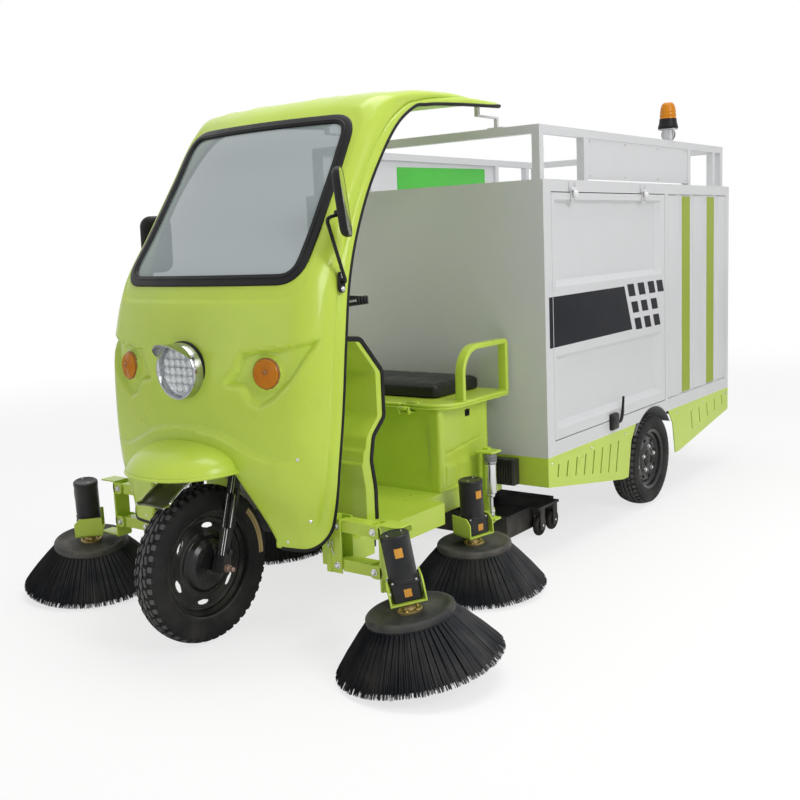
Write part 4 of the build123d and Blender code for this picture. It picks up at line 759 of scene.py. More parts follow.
def lightenTreadTops(piece, w):
    # a face gets the lighter finish, wear with a painted highlight, when its middle is on the tread and within 2 mm
    # of the uncut crown curve
    mesh = piece.data
    middles = np.empty(len(mesh.polygons) * 3)
    mesh.polygons.foreach_get("center", middles)
    middles = middles.reshape(-1, 3)
    middles = middles - w["centre"] * [np.sign(middles[0, 0]) if w["centre"][0] else 1, 1, 1]  # on the piece's own side
    across = np.abs(middles[:, 0]) / (w["width"] / 2 * treadShare)
    height = w["radius"] - w["crown"] * across ** 2.2 - np.hypot(middles[:, 1], middles[:, 2])
    mesh.materials.append(finish["worn_and_highlit_rubber"])
    mesh.polygons.foreach_set("material_index", ((height < 0.002) & (across < 1.04)).astype(np.int32))


def wheelDisc(w):
    # a dished disc as (across, radius) rings, with oval vents cut through it
    run = runOf(w["disc"])
    at = np.linspace(0, run[-1], 64)
    across, radius = (np.interp(at, run, row)[:, None] for row in np.transpose(w["disc"]))
    angle = angles(240)
    hole = np.full((64, 240), 0.05)
    for k in range(w["vents"]):
        turn = (angle - 2 * np.pi * (k + 0.35) / w["vents"] + np.pi) % (2 * np.pi) - np.pi
        away = np.hypot(turn[None] * w["ventAt"] / w["vent"][0], (radius - w["ventAt"]) / w["vent"][1]) - 1
        hole = np.minimum(hole, away * w["vent"][1])
    return shift(cut(beside(across, radius * np.cos(angle), radius * np.sin(angle)), hole, wrapV=True), w["centre"])


def rimWell(w):
    # the rim's cross-section: two flanges with rolled edges, bead seats and a drop centre, as a closed wall turned
    # about the axle; its points are (in from the edge, up from the rim)
    h, r = w["rimWidth"] / 2, w["rim"]
    outer = np.array([(0, 0.004), (0.003, 0.006), (0.006, 0.003), (0.009, -0.008), (0.024, -0.011), (0.032, -0.026)])
    inner = np.array([(0.002, -0.001), (0.006, -0.012), (0.022, -0.015), (0.03, -0.03)])
    ring = np.vstack([(h, r) + outer * [-1, 1], ((-h, r) + outer)[::-1], (-h, r) + inner,
            ((h, r) + inner * [-1, 1])[::-1]])
    return turnedAbout(w, ring[:, :1], ring[:, 1:], angles(120), wrapU=True, wrapV=True)


def putWheel(w, name, body, turn, parts):
    # tread, disc with a wall, and rim with its hub
    tread = putPiece(name + "_tyre_tread", turn(tyre(w)), body, "tyre_rubber", (name + "_tyre",), sharp=28)
    # the tread tops get the lighter finish: wear with a painted highlight
    lightenTreadTops(tread, w)
    thicken(putPiece(body + "_disc", turn(wheelDisc(w)), body, "rim_black", sharp=40), 0.003, 0)
    putPiece(body + "_rim", turn(join([rimWell(w)] + parts)), body, "rim_black", (name + "_rim",), sharp=30)


fc, rc = frontWheel["centre"], rearWheel["centre"]
hub = [[(0.048, 0), (0.048, 0.022), (0.0545, 0.021), (0.0548, 0)],
    [(0.02, 0), (0.02, 0.058), (-0.034, 0.056), (-0.052, 0.048), (-0.0548, 0.022), (-0.0548, 0)]]
putWheel(frontWheel, "front", "front_wheel", same, [lathe(row, fc, sideways, count) for row,
        count in zip(hub, (32, 48))])
# a plain tan strip on the sidewall: radius, and distance from the wheel's middle
bandAngle = np.radians(np.linspace(-4, 41, 40))
band = [(0.2455, 0.052), (0.246, 0.0556), (0.2675, 0.0556), (0.268, 0.052)]
band += [(radius, across - 0.002) for radius, across in band[::-1]]
radius, across = np.transpose(band)[..., None]
putPiece("front_tyre_band", turnedAbout(frontWheel, across, radius, bandAngle, wrapU=True), "front_wheel", "tan_rubber")
nut = ([(0, 0), (0, 0.017), (0.003, 0.017), (0.003, 0.0145), (0.016, 0.0145), (0.018, 0.0125), (0.018, 0)], 6)
stub = ([(0, 0), (0, 0.009), (0.036, 0.009), (0.038, 0.007), (0.038, 0)], 20)
putPiece("front_axle_nuts", [lathe(profile, fc + [side * 0.128, 0, 0], (side, 0, 0), count) for side in (1, -1)
        for profile, count in (nut, stub)],
    "steering", "worn_bolt")

hubCap = lathe([(0.03, 0.046), (0.044, 0.044), (0.05, 0.036), (0.056, 0.022), (0.056, 0.0215), (0.03, 0.0215)], rc,
    sideways, 40)
nuts = [bolt(rc + [0.043, 0.068 * np.cos(a), 0.068 * np.sin(a)], sideways, 0.0095) for a in angles(5) + 0.3]
for sign, label, turn in sides:
    body = f"rear_{label}_wheel"
    putWheel(rearWheel, "rear_" + label, body, turn, [hubCap])
    putPiece(body + "_nuts", turn(join(nuts)), body, "bright_steel")
print("wheels made")

# front fender and fork: the fender's start and stop are degrees up from straight ahead
fender = dict(radius=0.35, half=0.068, tipHalf=0.074, start=50, stop=158, wall=0.0022)


def fenderSheet():
    # round the wheel an angle, across it a shallow crown whose edges roll up, flaring at the front tip
    angle = np.radians(np.linspace(fender["start"], fender["stop"], 90))[:, None]
    s = np.linspace(-1, 1, 41)[None]
    tip = 1 - step(np.degrees(angle), fender["start"], fender["start"] + 22)
    half = fender["half"] + (fender["tipHalf"] - fender["half"]) * tip
    curl = 0.012 * tip * step(np.degrees(-angle), -fender["start"] - 4, -fender["start"]) - 0.006 * tip * np.abs(s) ** 3
    radius = fender["radius"] - 0.004 * s ** 2 + 0.009 * step(np.abs(s), 0.86, 1.0) + curl
    return fc + beside(half * s, -radius * np.cos(angle), radius * np.sin(angle))


sheet = fenderSheet()
thicken(putPiece("front_fender_sheet", grid(sheet), "steering", "fender_chrome", ("front_fender",), outward=False),
    fender["wall"], 0)
for edge, name in ((0, "right"), (-1, "left")):
    putPiece(f"front_fender_{name}_bead", tube(sheet[:, edge], 0.0045, 10), "steering", "lamp_chrome")
steerUp, steerBack = np.array([0, 0.292372, 0.956305]), np.array([0, 0.956305, -0.292372])


def onSteering(x, back, up):
    # a place in the fork's own directions, from the front axle
    return fc + np.array([x, 0, 0]) + steerBack * back + steerUp * up


collar = [(0, 0), (0, 0.0175), (0.006, 0.019), (0.03, 0.019), (0.036, 0.0165), (0.036, 0)]
sleeve = [(0, 0), (0, 0.0165), (0.004, 0.018), (0.128, 0.018), (0.134, 0.015), (0.134, 0)]
# thin bright lines along the damper's edges, painted highlights: up the leg, out from its middle
highlightRun = ((0.045, 0.006), (0.145, 0.006), (0.151, 0.0195), (0.274, 0.0195), (0.28, 0.006), (0.38, 0.006))
forkParts, damperHighlights = [], []
for side in (1, -1):
    forkParts += [lathe(collar, onSteering(side * 0.084, 0, h), steerUp, 28) for h in (0.03, 0.21, 0.345)]
    forkParts += [lathe(sleeve, onSteering(side * 0.114, 0, 0.165), steerUp, 28)]
    forkParts += [bolt(onSteering(side * 0.128, 0, h), (side, 0, 0), 0.01) for h in (0.062, 0.375)]
    for flip in (1, -1):
        path = [onSteering(side * 0.114 + flip * out, -0.0195, up) for up, out in highlightRun]
        damperHighlights.append(tube(path, 0.0018, 8, along))
putPiece("fork_collars", forkParts, "steering", "rim_black")
# bright steel lines that paint the highlights along the damper's edges
putPiece("fork_damper_highlights", damperHighlights, "steering", "bright_steel")
print("fork and fender made")

# brushes and their motors: the rows of tufts are root radius, root height, tip radius and strands a tuft
brush = dict(tip=0.3, tufts=60, rows=((0.151, 0.17, 0.298, 24), (0.134, 0.168, 0.276, 14), (0.114, 0.166, 0.24, 6)),
    strand=0.0017, tuftRoot=0.0042, tuftTip=0.0135, floorGap=0.0015, seed=7)
motor = dict(turn=dict(front=42, mid=72), plate=0.224, radius=0.0505, gearbox=(0.104, 0.092, 0.068), height=0.164,
    cheek=0.084)
frontLean = np.tan(np.radians(7))
brushPlaces = {}  # where each spindle stands, its direction, and the direction square to it
for side, label, turn in sides:
    brushPlaces["front_" + label] = ((side * 0.895, -1.62, 0.0528666), (-side * 0.121212, -0.103758, 0.987189),
        (1, 0, side * frontLean))
    brushPlaces["mid_" + label] = ((side * 0.585, -0.772, 0.0207), (0, -0.05234, 0.99863), sideways)


def bristles(rng):
    # each strand is a thin three-sided rod from the disc to the tips; strands fan out from a tuft, and tufts stand
    # in three rings
    roots, tips = [], []
    for k, (rootRadius, rootHigh, tipRadius, count) in enumerate(brush["rows"]):
        tuft = np.repeat((np.arange(brush["tufts"]) + 0.5 * (k % 2)) * 2 * np.pi / brush["tufts"], count)
        spreadA, spreadR = rng.uniform(-1, 1, len(tuft)), rng.uniform(-1, 1, len(tuft))
        rootR = rootRadius + 0.0035 * spreadR
        tipR = tipRadius - 0.003 + 0.006 * spreadR + rng.normal(0, 0.001, len(tuft))
        tipR = np.minimum(tipR, brush["tip"] - 0.001)
        rootA = tuft + spreadA * brush["tuftRoot"] / rootRadius
        tipA = tuft + spreadA * brush["tuftTip"] / tipRadius + rng.normal(0, 0.004, len(tuft))
        roots.append(beside(rootR * np.cos(rootA), rootR * np.sin(rootA), rootHigh))
        tips.append(beside(tipR * np.cos(tipA), tipR * np.sin(tipA),
            brush["floorGap"] + rng.uniform(0, 0.004, len(tuft))))
    root, tip = np.vstack(roots), np.vstack(tips)
    s = np.array([0, 0.33, 0.66, 1.0])[:, None, None]
    # a strand bows out and up between its ends by s(1 - s)
    line = root + (tip - root) * s + (0.012 * unit((tip - root) * [1, 1, 0]) + [0, 0, 0.006]) * s * (1 - s)
    across = unit(np.cross(unit(tip - root), upwards))
    outer = unit(np.cross(across, tip - root))
    ring = angles(3)[:, None]
    radius = brush["strand"] * np.array([1, 1, 0.9, 0.55])[:, None, None, None]
    points = line[:, :, None] + radius * (np.cos(ring) * across[:, None] + np.sin(ring) * outer[:, None])
    ids = np.arange(points.size // 3).reshape(points.shape[:3])
    after = np.roll(ids, -1, 2)
    quads = beside(ids[:-1], after[:-1], after[1:], ids[1:]).reshape(-1, 4)
    return points.reshape(-1, 3), [quads, ids[-1], ids[0][:, ::-1]]


# the disc's top is one smooth curve through these
discTop = np.array([(0.176, 0.0), (0.182, 0.034), (0.181, 0.06), (0.1765, 0.085), (0.1765, 0.112), (0.1835, 0.13),
        (0.1895, 0.14), (0.1905, 0.146), (0.189, 0.153), (0.184, 0.1575), (0.177, 0.1585), (0.168, 0.1575),
        (0.1645, 0.155), (0.164, 0.148), (0.164, 0.0)])
discTop = smoothThrough(np.arange(15.0), discTop, np.linspace(0, 14, 60))
coreProfile = [(0.166, 0.02), (0.166, 0.148), (0.12, 0.184), (0.012, 0.276), (0.012, 0.225), (0.12, 0.14), (0.15, 0.02),
    (0.166, 0.02)]
hubProfile = [(0.176, 0), (0.176, 0.044), (0.188, 0.044), (0.19, 0.042), (0.19, 0.022), (0.198, 0.02), (0.204, 0.02),
    (0.204, 0)]
hub = [lathe(hubProfile, count=40), lathe([(0.19, 0), (0.19, 0.0125), (motor["plate"], 0.0125), (motor["plate"], 0)],
        count=24)]
hub += [bolt((0.033 * np.cos(a), 0.033 * np.sin(a), 0.189), upwards, 0.0065) for a in angles(5)]
for number, (key, (origin, spindle, across)) in enumerate(brushPlaces.items()):
    m, body = axes(origin, spindle, across), key + "_brush"
    strands, faces = place(bristles(np.random.default_rng(brush["seed"] + number)), m)
    strands[:, 2] = np.maximum(strands[:, 2], brush["floorGap"])
    putPiece(key + "_bristles", (strands, faces), body, "bristle_black", (body,), sharp=60, tidy=False)
    putPiece(key + "_bristle_core", place(lathe(coreProfile, count=60), m), body, "bristle_black")
    putPiece(key + "_brush_disc", place(lathe(discTop, count=120), m), body, "brush_disc", sharp=60)
    putPiece(key + "_brush_hub", place(join(hub), m), body, "yellow_zinc")
print("brushes made")


def motorShapes(key):
    # the motor stands on its gearbox, on a plate with two chamfered cheeks, turned a little round the spindle
    low = motor["plate"]
    wide, deep, high = motor["gearbox"]
    r, boxLow = motor["radius"], low + 0.006
    foot = boxLow + high
    top = foot + motor["height"]
    can = [(foot - 0.002, 0), (foot - 0.002, r + 0.002), (foot + 0.006, r + 0.002), (foot + 0.008, r), (top - 0.02, r),
        (top - 0.018, r + 0.0012), (top - 0.004, r + 0.0012), (top, r - 0.003), (top + 0.001, r - 0.01),
        (top - 0.001, r - 0.014), (top - 0.001, 0)]
    black = [block((wide, deep, high), (0, 0, boxLow + high / 2), 0.014, edge=0.003),
        block((wide + 0.006, deep + 0.006, 0.006), (0, 0, foot - 0.004), 0.016, edge=0.0015), lathe(can, count=72)]
    screws = [bolt((sx * (wide / 2 - 0.011), sy * (deep / 2 - 0.011), foot), upwards, 0.0052) for sx in (-1, 1)
        for sy in (-1, 1)]
    screws += [lathe([(0, 0), (0, 0.004), (0.003, 0.0035), (0.0035, 0)], (0.03 * np.cos(a), 0.03 * np.sin(a),
            top - 0.001), count=12)
        for a in (0.5, 3.64)]
    halfX, halfY, cheek = wide / 2 + 0.012, deep / 2 + 0.012, motor["cheek"]
    green = [block((2 * halfX, 2 * halfY, 0.006), (0, 0, low + 0.003), 0.006, edge=0.0006)]
    cheekOutline = [(halfY, cheek), (-halfY + 0.022, cheek), (-halfY, 0.06), (-halfY, 0), (halfY, 0)]
    green += [slab(cheekOutline, 0.006, outLeft(sx * (halfX - 0.003) - 0.003, 0, low), 0.0006) for sx in (-1, 1)]
    # plain labels: one curved on the motor, one flat on the gearbox
    a = np.radians(np.linspace(-16, 16, 14)) - np.pi / 2
    skins = [beside(radius * np.cos(a), radius * np.sin(a)) for radius in (r + 0.0002, r + 0.0012)]
    outline = np.vstack([skins[0], skins[1][::-1]])
    heights = (foot + motor["height"] * 0.55, foot + motor["height"] * 0.75)
    labels = [grid(np.stack([np.insert(outline, 2, z, axis=1) for z in heights]), wrapV=True, capU=True),
        slab(roundRect(0.026, 0.028, 0.001), 0.0012, axes((0.004, -deep / 2, boxLow + high * 0.46), (0, -1, 0)),
            0.0003)]
    origin, spindle, across = brushPlaces[key]
    turn = np.radians(np.sign(origin[0]) * motor["turn"][key.split("_")[0]])
    spin = np.eye(4)
    spin[:2, :2] = [[np.cos(turn), -np.sin(turn)], [np.sin(turn), np.cos(turn)]]
    return [place(join(parts), axes(origin, spindle, across) @ spin) for parts in (black, screws, green, labels)]


def putMotor(key, body, turn, bracket, pins, piece, stands):
    # the bracket in green with its pins and bolts, and the motor on it
    black, screws, green, labels = motorShapes(key)
    putPiece(key + piece, join([turn(join(bracket)), green]), body, "cab_green", (key + stands,))
    putPiece(key + "_motor", black, body, "motor_black")
    putPiece(key + "_motor_screws", join([screws, turn(join(pins))]), body, "bright_steel")
    putPiece(key + "_motor_labels", labels, body, "label_orange")


arm = dict(y=-1.57, outer=0.698, inner=0.53, heights=(0.476, 0.33), pinHalf=0.037, pin=0.0105)
actuator = dict(x=0.545, y=-0.57)
carriage = dict(y=-0.527)
for side, label, turn in sides:
    # front brush: a link plate with both arms' pins, an upright plate behind the motor with a folded top, and a
    # foot to its plate
    key, y = "front_" + label, arm["y"]
    plate = [slab(roundRect(0.074, 0.244, 0.006), 0.01, outLeft(0.722, y, 0.38), 0.001)]
    plate += [slab(roundRect(0.056, 0.05, 0.02), 0.006, axes((arm["outer"] + 0.007, y + end * 0.034 - 0.003, high),
            along))
        for end in (-1, 1) for high in arm["heights"]]
    back = [(0.722, 0.452), (0.742, 0.458), (0.806, 0.476), (0.814, 0.484), (0.814, 0.496), (0.808, 0.502),
        (0.722, 0.502)]
    plate.append(slab(back, 0.006, axes((0, y + 0.046, 0), (0, -1, 0))))
    plate.append(block((0.092, 0.074, 0.005), (0.768, y + 0.001, 0.5035), 0.006))
    plate.append(slab([(0.732, -0.035), (0.85, -0.035), (0.85, 0.035), (0.732, 0.035)], 0.006, axes((0, y, 0.262))))
    pins = []
    for high in arm["heights"]:
        pins += [bolt((arm["outer"], y + end * arm["pinHalf"], high), (0, end, 0), arm["pin"]) for end in (-1, 1)]
        pins.append(lathe([(0, 0), (0, 0.0078), (0.074, 0.0078), (0.074, 0)], (arm["outer"], y - arm["pinHalf"], high),
                along, 20))
    pins += [bolt((0.732, y + dy, z), sideways, 0.008) for z in (0.3, 0.405) for dy in (-0.018, 0.018)]
    putMotor(key, key + "_head", turn, plate, pins, "_head_bracket", "_brush_head")
    # the eye bolt and hook between the arms, and the fixed pins' heads
    a = np.linspace(0, 2 * np.pi, 24, endpoint=False)
    fixed = [
        tube(beside(0.512, y - 0.052 - 0.012 * np.sin(a), 0.412 + 0.012 * np.cos(a)), 0.0035, 8, sideways, closed=True),
        tube([(0.512, y - 0.045, 0.396), (0.512, y - 0.04, 0.38), (0.512, y - 0.034, 0.365)], 0.0035, 8, sideways)]
    fixed += [bolt((arm["inner"], y + end * arm["pinHalf"], high), (0, end, 0), arm["pin"]) for high in arm["heights"]
        for end in (-1, 1)]
    putPiece(key + "_bracket_bolts", turn(join(fixed)), "chassis", "bright_steel")

    # middle brush: shoe on the guide post, arm and lug, with the motor's plate
    key, y = "mid_" + label, carriage["y"]
    shoe = [(0.4845, -0.0215), (0.5215, -0.0215), (0.5215, 0.0215), (0.4845, 0.0215), (0.4845, 0.0155),
        (0.5155, 0.0155), (0.5155, -0.0155), (0.4845, -0.0155)]
    armOutline = [(-0.802, 0.236), (-0.5425, 0.236), (-0.5425, 0.285), (-0.6, 0.285), (-0.66, 0.3), (-0.802, 0.3)]
    bracket = [slab(shoe, 0.07, axes((0, y, 0.215))),
        slab([(0.5155, -0.065), (0.575, -0.065), (0.575, -0.0155), (0.5155, -0.0155)], 0.01, axes((0, y, 0.248))),
        block((0.032, 0.032, 0.005), (actuator["x"], actuator["y"], 0.2595), 0.003),
        slab(armOutline, 0.006, outLeft(0.5155)), block((0.06, 0.08, 0.006), (0.548, -0.772, 0.239), 0.004)]
    shoeBolts = [bolt((0.5215, y + dy, z), sideways, 0.006) for dy in (-0.01, 0.01) for z in (0.228, 0.272)]
    putMotor(key, key + "_carriage", turn, bracket, shoeBolts, "_carriage_bracket", "_carriage")
    # linear actuator: bright body with a ribbed grey cap and a gland, its rod below
    at = (actuator["x"], actuator["y"], 0)
    bodyProfile = [(0.352, 0), (0.352, 0.0155), (0.356, 0.0175), (0.366, 0.0175), (0.368, 0.0235), (0.372, 0.0255),
        (0.502, 0.0255), (0.504, 0.029), (0.512, 0.03), (0.512, 0)]
    capProfile = [(0.5, 0), (0.5, 0.027), (0.504, 0.029), (0.512, 0.03), (0.517, 0.0285), (0.522, 0.0302),
        (0.527, 0.0285), (0.532, 0.0302), (0.538, 0.0285), (0.542, 0.0265), (0.5455, 0.021), (0.5455, 0)]
    cap = [lathe(capProfile, at, count=40), lathe([(0.5455, 0), (0.5455, 0.007), (0.5495, 0.006), (0.5495, 0)], at,
            count=16)]
    rod = [lathe([(0.264, 0), (0.264, 0.009), (0.407, 0.009), (0.407, 0)], at, count=24),
        lathe([(0.2635, 0), (0.2635, 0.0135), (0.266, 0.0145), (0.276, 0.0145), (0.279, 0.012), (0.279, 0)], at,
            count=6)]
    putPiece(key + "_actuator_body", turn(lathe(bodyProfile, at, count=40)), "chassis", "bright_steel",
        (key + "_actuator",))
    putPiece(key + "_actuator_cap", turn(join(cap)), "chassis", "wheel_arch")
    putPiece(key + "_actuator_piston", turn(join(rod)), key + "_carriage", "lamp_chrome", (key + "_actuator_rod",))
print("brush motors and actuators made")

# casters
caster = dict(radius=0.052, width=0.026)
w, r = caster["width"] / 2, caster["radius"]
casterTyre = [(-w, 0.033), (-w, r - 0.01), (-w + 0.003, r - 0.003), (-w + 0.008, r), (w - 0.008, r),
    (w - 0.003, r - 0.003), (w, r - 0.01), (w, 0.033), (w - 0.004, 0.031), (-w + 0.004, 0.031), (-w, 0.033)]
casterHub = [(-w - 0.0015, 0.0045), (-w - 0.0015, 0.013), (-w + 0.006, 0.016), (-w + 0.006, 0.029), (-w + 0.002, 0.033),
    (w - 0.002, 0.033), (w - 0.006, 0.029), (w - 0.006, 0.016), (w + 0.0015, 0.013), (w + 0.0015, 0.0045),
    (-w - 0.0015, 0.0045)]
for sign, label, turn in sides:
    for end in ("front", "rear"):
        name = f"{label}_{end}_caster"
        centre = np.mean(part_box(name), axis=0)
        putPiece(name + "_tyre", lathe(casterTyre, centre, sideways, 56), name + "_wheel", "tyre_rubber", (name,))
        putPiece(name + "_hub", lathe(casterHub, centre, sideways, 40), name + "_wheel", "black_plastic")
print("casters made")


# pressed panels

def marksTo(low, high, marks, coarse=0.05, steps=3):
    # places along an edge: each mark, a few between close marks, and even ones over the long gaps
    marks = np.unique(np.round(np.clip([low, high, *marks], low, high), 5))
    rows = [np.linspace(a, b, max(steps if b - a < 0.045 else int((b - a) / coarse), 1), endpoint=False) for a,
        b in zip(marks, marks[1:])]
    return np.concatenate(rows + [[high]])


def pressing(u, v, outer, inner, depth):
    # a sloped recess between two rectangles: the smallest of the four sides' shares, times the depth
    share = np.minimum(np.minimum((u - outer[0]) / (inner[0] - outer[0]), (outer[1] - u) / (outer[1] - inner[1])),
        np.minimum((v - outer[2]) / (inner[2] - outer[2]), (outer[3] - v) / (outer[3] - inner[3])))
    return depth * np.clip(share, 0, 1)


def relief(us, vs, height, back, matrix):
    # a panel whose front stands at a height worked out for every place on it, with a flat back
    u, v = np.meshgrid(us, vs, indexing="ij")
    n, m = u.shape
    ids = np.arange(n * m).reshape(n, m)
    loop = np.concatenate([ids[:-1, 0], ids[-1, :-1], ids[:0:-1, -1], ids[0, :0:-1]])
    points, faces = grid(beside(u, v, height(u, v)))
    low = points[loop] * [1, 1, 0] + [0, 0, back]
    ring = n * m + np.arange(len(loop))
    side = beside(loop, np.roll(loop, -1), np.roll(ring, -1), ring)
    return place((np.vstack([points, low]), faces + [side, ring[None]]), matrix)


def pressedDoor(look, us, vs, boxes, matrix):
    # a leaf between two pairs of edges, with recesses and a narrow bevel round it
    bevel = look["bevel"]

    def height(u, v):
        edge = np.minimum(np.minimum(u - us[0], us[1] - u), np.minimum(v - vs[0], vs[1] - v))
        return -sum(pressing(u, v, outer, inner, look["depth"]) for outer, inner in boxes) - np.clip(bevel - edge, 0, 1)

    marks = [[edges[0] + bevel, edges[1] - bevel] + [v for pair in boxes for box in pair for v in box[k:k + 2]]
        for edges, k in ((us, 0), (vs, 2))]
    return relief(marksTo(*us, marks[0]), marksTo(*vs, marks[1]), height, -look["thick"], matrix)


def latchBody(high, matrix):
    return stacked(roundRect(*high, 0.01), [(0.002, 0), (0, 0.002), (0, 0.012), (0.006, 0.02), (0.01, 0.0215)], matrix)


# load box: doors, ribs and stripes; recesses are low and high along, low and high up, at their outer and inner edge
door = dict(y=(-0.228, 1.044), z=(0.552, 1.668), face=0.686, thick=0.03, depth=0.026, bevel=0.0015,
    hinges=(-0.028, 0.758), hingeX=0.695, hingeZ=1.684, latchY=0.372, latchZ=(0.5, 0.584),
    recesses=(((-0.2, 0.994, 1.248, 1.637), (-0.17, 0.96, 1.278, 1.627)), ((-0.205, 0.992, 0.6, 0.937),
        (-0.172, 0.958, 0.63, 0.914))))
stripe = dict(corners=((-0.226, 0.978), (0.616, 0.983), (0.523, 1.209), (-0.226, 1.207)), post=(-0.266, -0.232),
    lean=-0.41, thick=0.0007, squares=(((0.556, 0.682, 0.81, 0.924), 1.153, 1.216, 0.08),
        ((0.604, 0.722, 0.849), 1.066, 1.124, 0.076),
        ((0.641, 0.76, 0.881), 0.976, 1.037, 0.076)))  # starts along, low, high and width
faceOut = outLeft(door["face"])


def sticker(y0, y1, z0, z1, thick=0.0006):
    # a thin upright rectangle on the load box's side
    return slab([(y0, z0), (y1, z0), (y1, z1), (y0, z1)], thick, faceOut, 0.0002)


def stripePlates():
    # the band, and squares that lean: a square's lower edge moves along by its height times the lean
    plates = [slab(stripe["corners"], stripe["thick"], faceOut, 0.0002)]
    for starts, low, high, wide in stripe["squares"]:
        lean = (low - high) * stripe["lean"]
        plates += [slab([(y, high), (y + lean, low), (y + wide + lean, low), (y + wide, high)], stripe["thick"],
                faceOut, 0.0002) for y in starts]
    return join(plates)


def doorLatch():
    # a moulded block with a hooked handle that leans back
    x, y, (low, high) = door["face"], door["latchY"], door["latchZ"]
    line = bend([(x + 0.012, y + 0.02, low + 0.03), (x + 0.018, y + 0.06, low + 0.034),
            (x + 0.02, y + 0.074, low + 0.075), (x + 0.014, y + 0.1, high + 0.072)], 0.02, 6)
    size = np.interp(np.arange(len(line)), [0, len(line) - 3, len(line) - 1], [1, 1, 0.7])
    return join([latchBody((0.078, high - low), outLeft(x + 0.0004, y, (low + high) / 2)),
            carry(roundRect(0.011, 0.016, 0.004, 3), line, sideways, scale=size)])


leaf, caps, screws = [pressedDoor(door, door["y"], door["z"], door["recesses"], faceOut)], [], []
capProfile = [(0.006, 0), (0.006, 0.015), (0.01, 0.0172), (0.016, 0.0165), (0.021, 0.0125), (0.0235, 0.006), (0.024, 0)]
for y in door["hinges"]:  # a knuckle and strap, a round cap over them and two small rivets
    x, z = door["hingeX"], door["hingeZ"]
    leaf += [barrel(0.019, 0.008, (x, y, z), along), slab(roundRect(0.038, 0.06, 0.004), 0.0045,
            outLeft(door["face"] + 0.0005, y, z - 0.032))]
    caps.append(lathe(capProfile, (x - 0.003, y, z - 0.02), sideways, 28))
    screws += [bolt((door["face"] + 0.005, y + dy, z - 0.048), sideways, 0.0048) for dy in (-0.011, 0.011)]
bandHeights = stripe["corners"][0][1], stripe["corners"][3][1]
doorParts = (("door_panel", join(leaf), "box_white", ("_side_door",), 14),
    ("door_hinge_caps", join(caps), "knob_white", (), 35), ("door_hinge_screws", join(screws), "bright_steel", (), 35),
    ("door_stripe", stripePlates(), "stripe_black", (), 35), ("door_latch", doorLatch(), "black_plastic", (), 35))
for sign, label, turn in sides:
    for name, shape, look, stands, sharp in doorParts:
        putPiece(f"{label}_{name}", turn(shape), label + "_door", look, [label + end for end in stands], sharp=sharp)
    putPiece(label + "_post_stripe", turn(sticker(*stripe["post"], *bandHeights, stripe["thick"])), "chassis",
        "stripe_black")

ribs = dict(y=(1.088, 1.988), z=(0.548, 1.672), rise=0.009, back=-0.029, wide=0.134, slope=0.006, count=5, green=(1, 3))
ribStarts = ribs["y"][0] + np.arange(ribs["count"]) * (ribs["y"][1] - ribs["y"][0] - ribs["wide"]) / (ribs["count"] - 1)


def ribPanel():
    # flat ribs with sloped sides, standing on a sheet, with their ends sloped too
    slope, (low, high) = ribs["slope"], ribs["z"]
    edges = [ribStarts + by for by in (0, slope, ribs["wide"] - slope, ribs["wide"])]

    def height(u, v):
        share = [np.minimum((u - start) / slope, (start + ribs["wide"] - u) / slope) for start in ribStarts]
        ends = np.minimum((v - low - 0.002) / 0.008, (high - 0.002 - v) / 0.008)
        return ribs["rise"] * (np.clip(np.minimum(np.max(share, 0), ends), 0, 1) - 1)

    us = marksTo(*ribs["y"], np.concatenate(edges), coarse=0.08, steps=2)
    vs = marksTo(low, high, [low + 0.002, low + 0.01, high - 0.01, high - 0.002], coarse=0.12, steps=2)
    return relief(us, vs, height, ribs["back"], faceOut)


inner = ribs["slope"] + 0.001
greens = [sticker(start + inner, start + ribs["wide"] - inner, ribs["z"][0] + 0.011, ribs["z"][1] - 0.011)
    for start in ribStarts[list(ribs["green"])]]
putPiece("rib_panels", bothSides(ribPanel()), "chassis", "box_white", ("rear_side_panels",), sharp=14)
putPiece("rib_stripes", bothSides(*greens), "chassis", "stripe_green")

tail = dict(half=0.616, z=(0.544, 1.676), y=2.048, thick=0.03, depth=0.013, bevel=0.0015, hinges=(-0.45, 0.45),
    hingeY=2.062, hingeZ=1.692, boxes=(-0.306, 0.306), boxHalf=(0.262, 0.232), boxOuter=(0.64, 1.59),
    boxInner=(0.67, 1.58))
tailBoxes = [[(c - half, c + half, *heights) for half, heights in zip(tail["boxHalf"],
        (tail["boxOuter"], tail["boxInner"]))] for c in tail["boxes"]]
tailParts = [pressedDoor(tail, (-tail["half"], tail["half"]), tail["z"], tailBoxes, outRear(tail["y"]))]
tailBolts = []
for x in tail["hinges"]:
    y, z = tail["y"], tail["hingeZ"]
    tailParts += [barrel(0.019, 0.01, (x, tail["hingeY"], z), sideways),
        slab(roundRect(0.038, 0.078, 0.004), 0.0045, outRear(y + 0.0005, x, z - 0.046)),
        block((0.038, 0.016, 0.008), (x, y + 0.009, z - 0.012), 0.002)]
    tailBolts += [bolt((x + dx, y + 0.005, z - 0.072), along, 0.0048) for dx in (-0.011, 0.011)]
grip = bend([(x, tail["y"] + out, 0.7) for x, out in ((-0.075, 0.001), (-0.075, 0.02), (0.075, 0.02), (0.075, 0.001))],
    0.014, 6)
tailLatch = [latchBody((0.09, 0.07), outRear(tail["y"] + 0.0004, 0, 0.592)), tube(grip, 0.0055, 12, upwards)]
putPiece("tail_door_panel", join(tailParts), "tailgate", "box_white", ("rear_door",), sharp=14)
putPiece("tail_door_latch", join(tailLatch), "tailgate", "black_plastic")
putPiece("tail_door_hinge_screws", join(tailBolts), "tailgate", "bright_steel")
print("load box dressed")
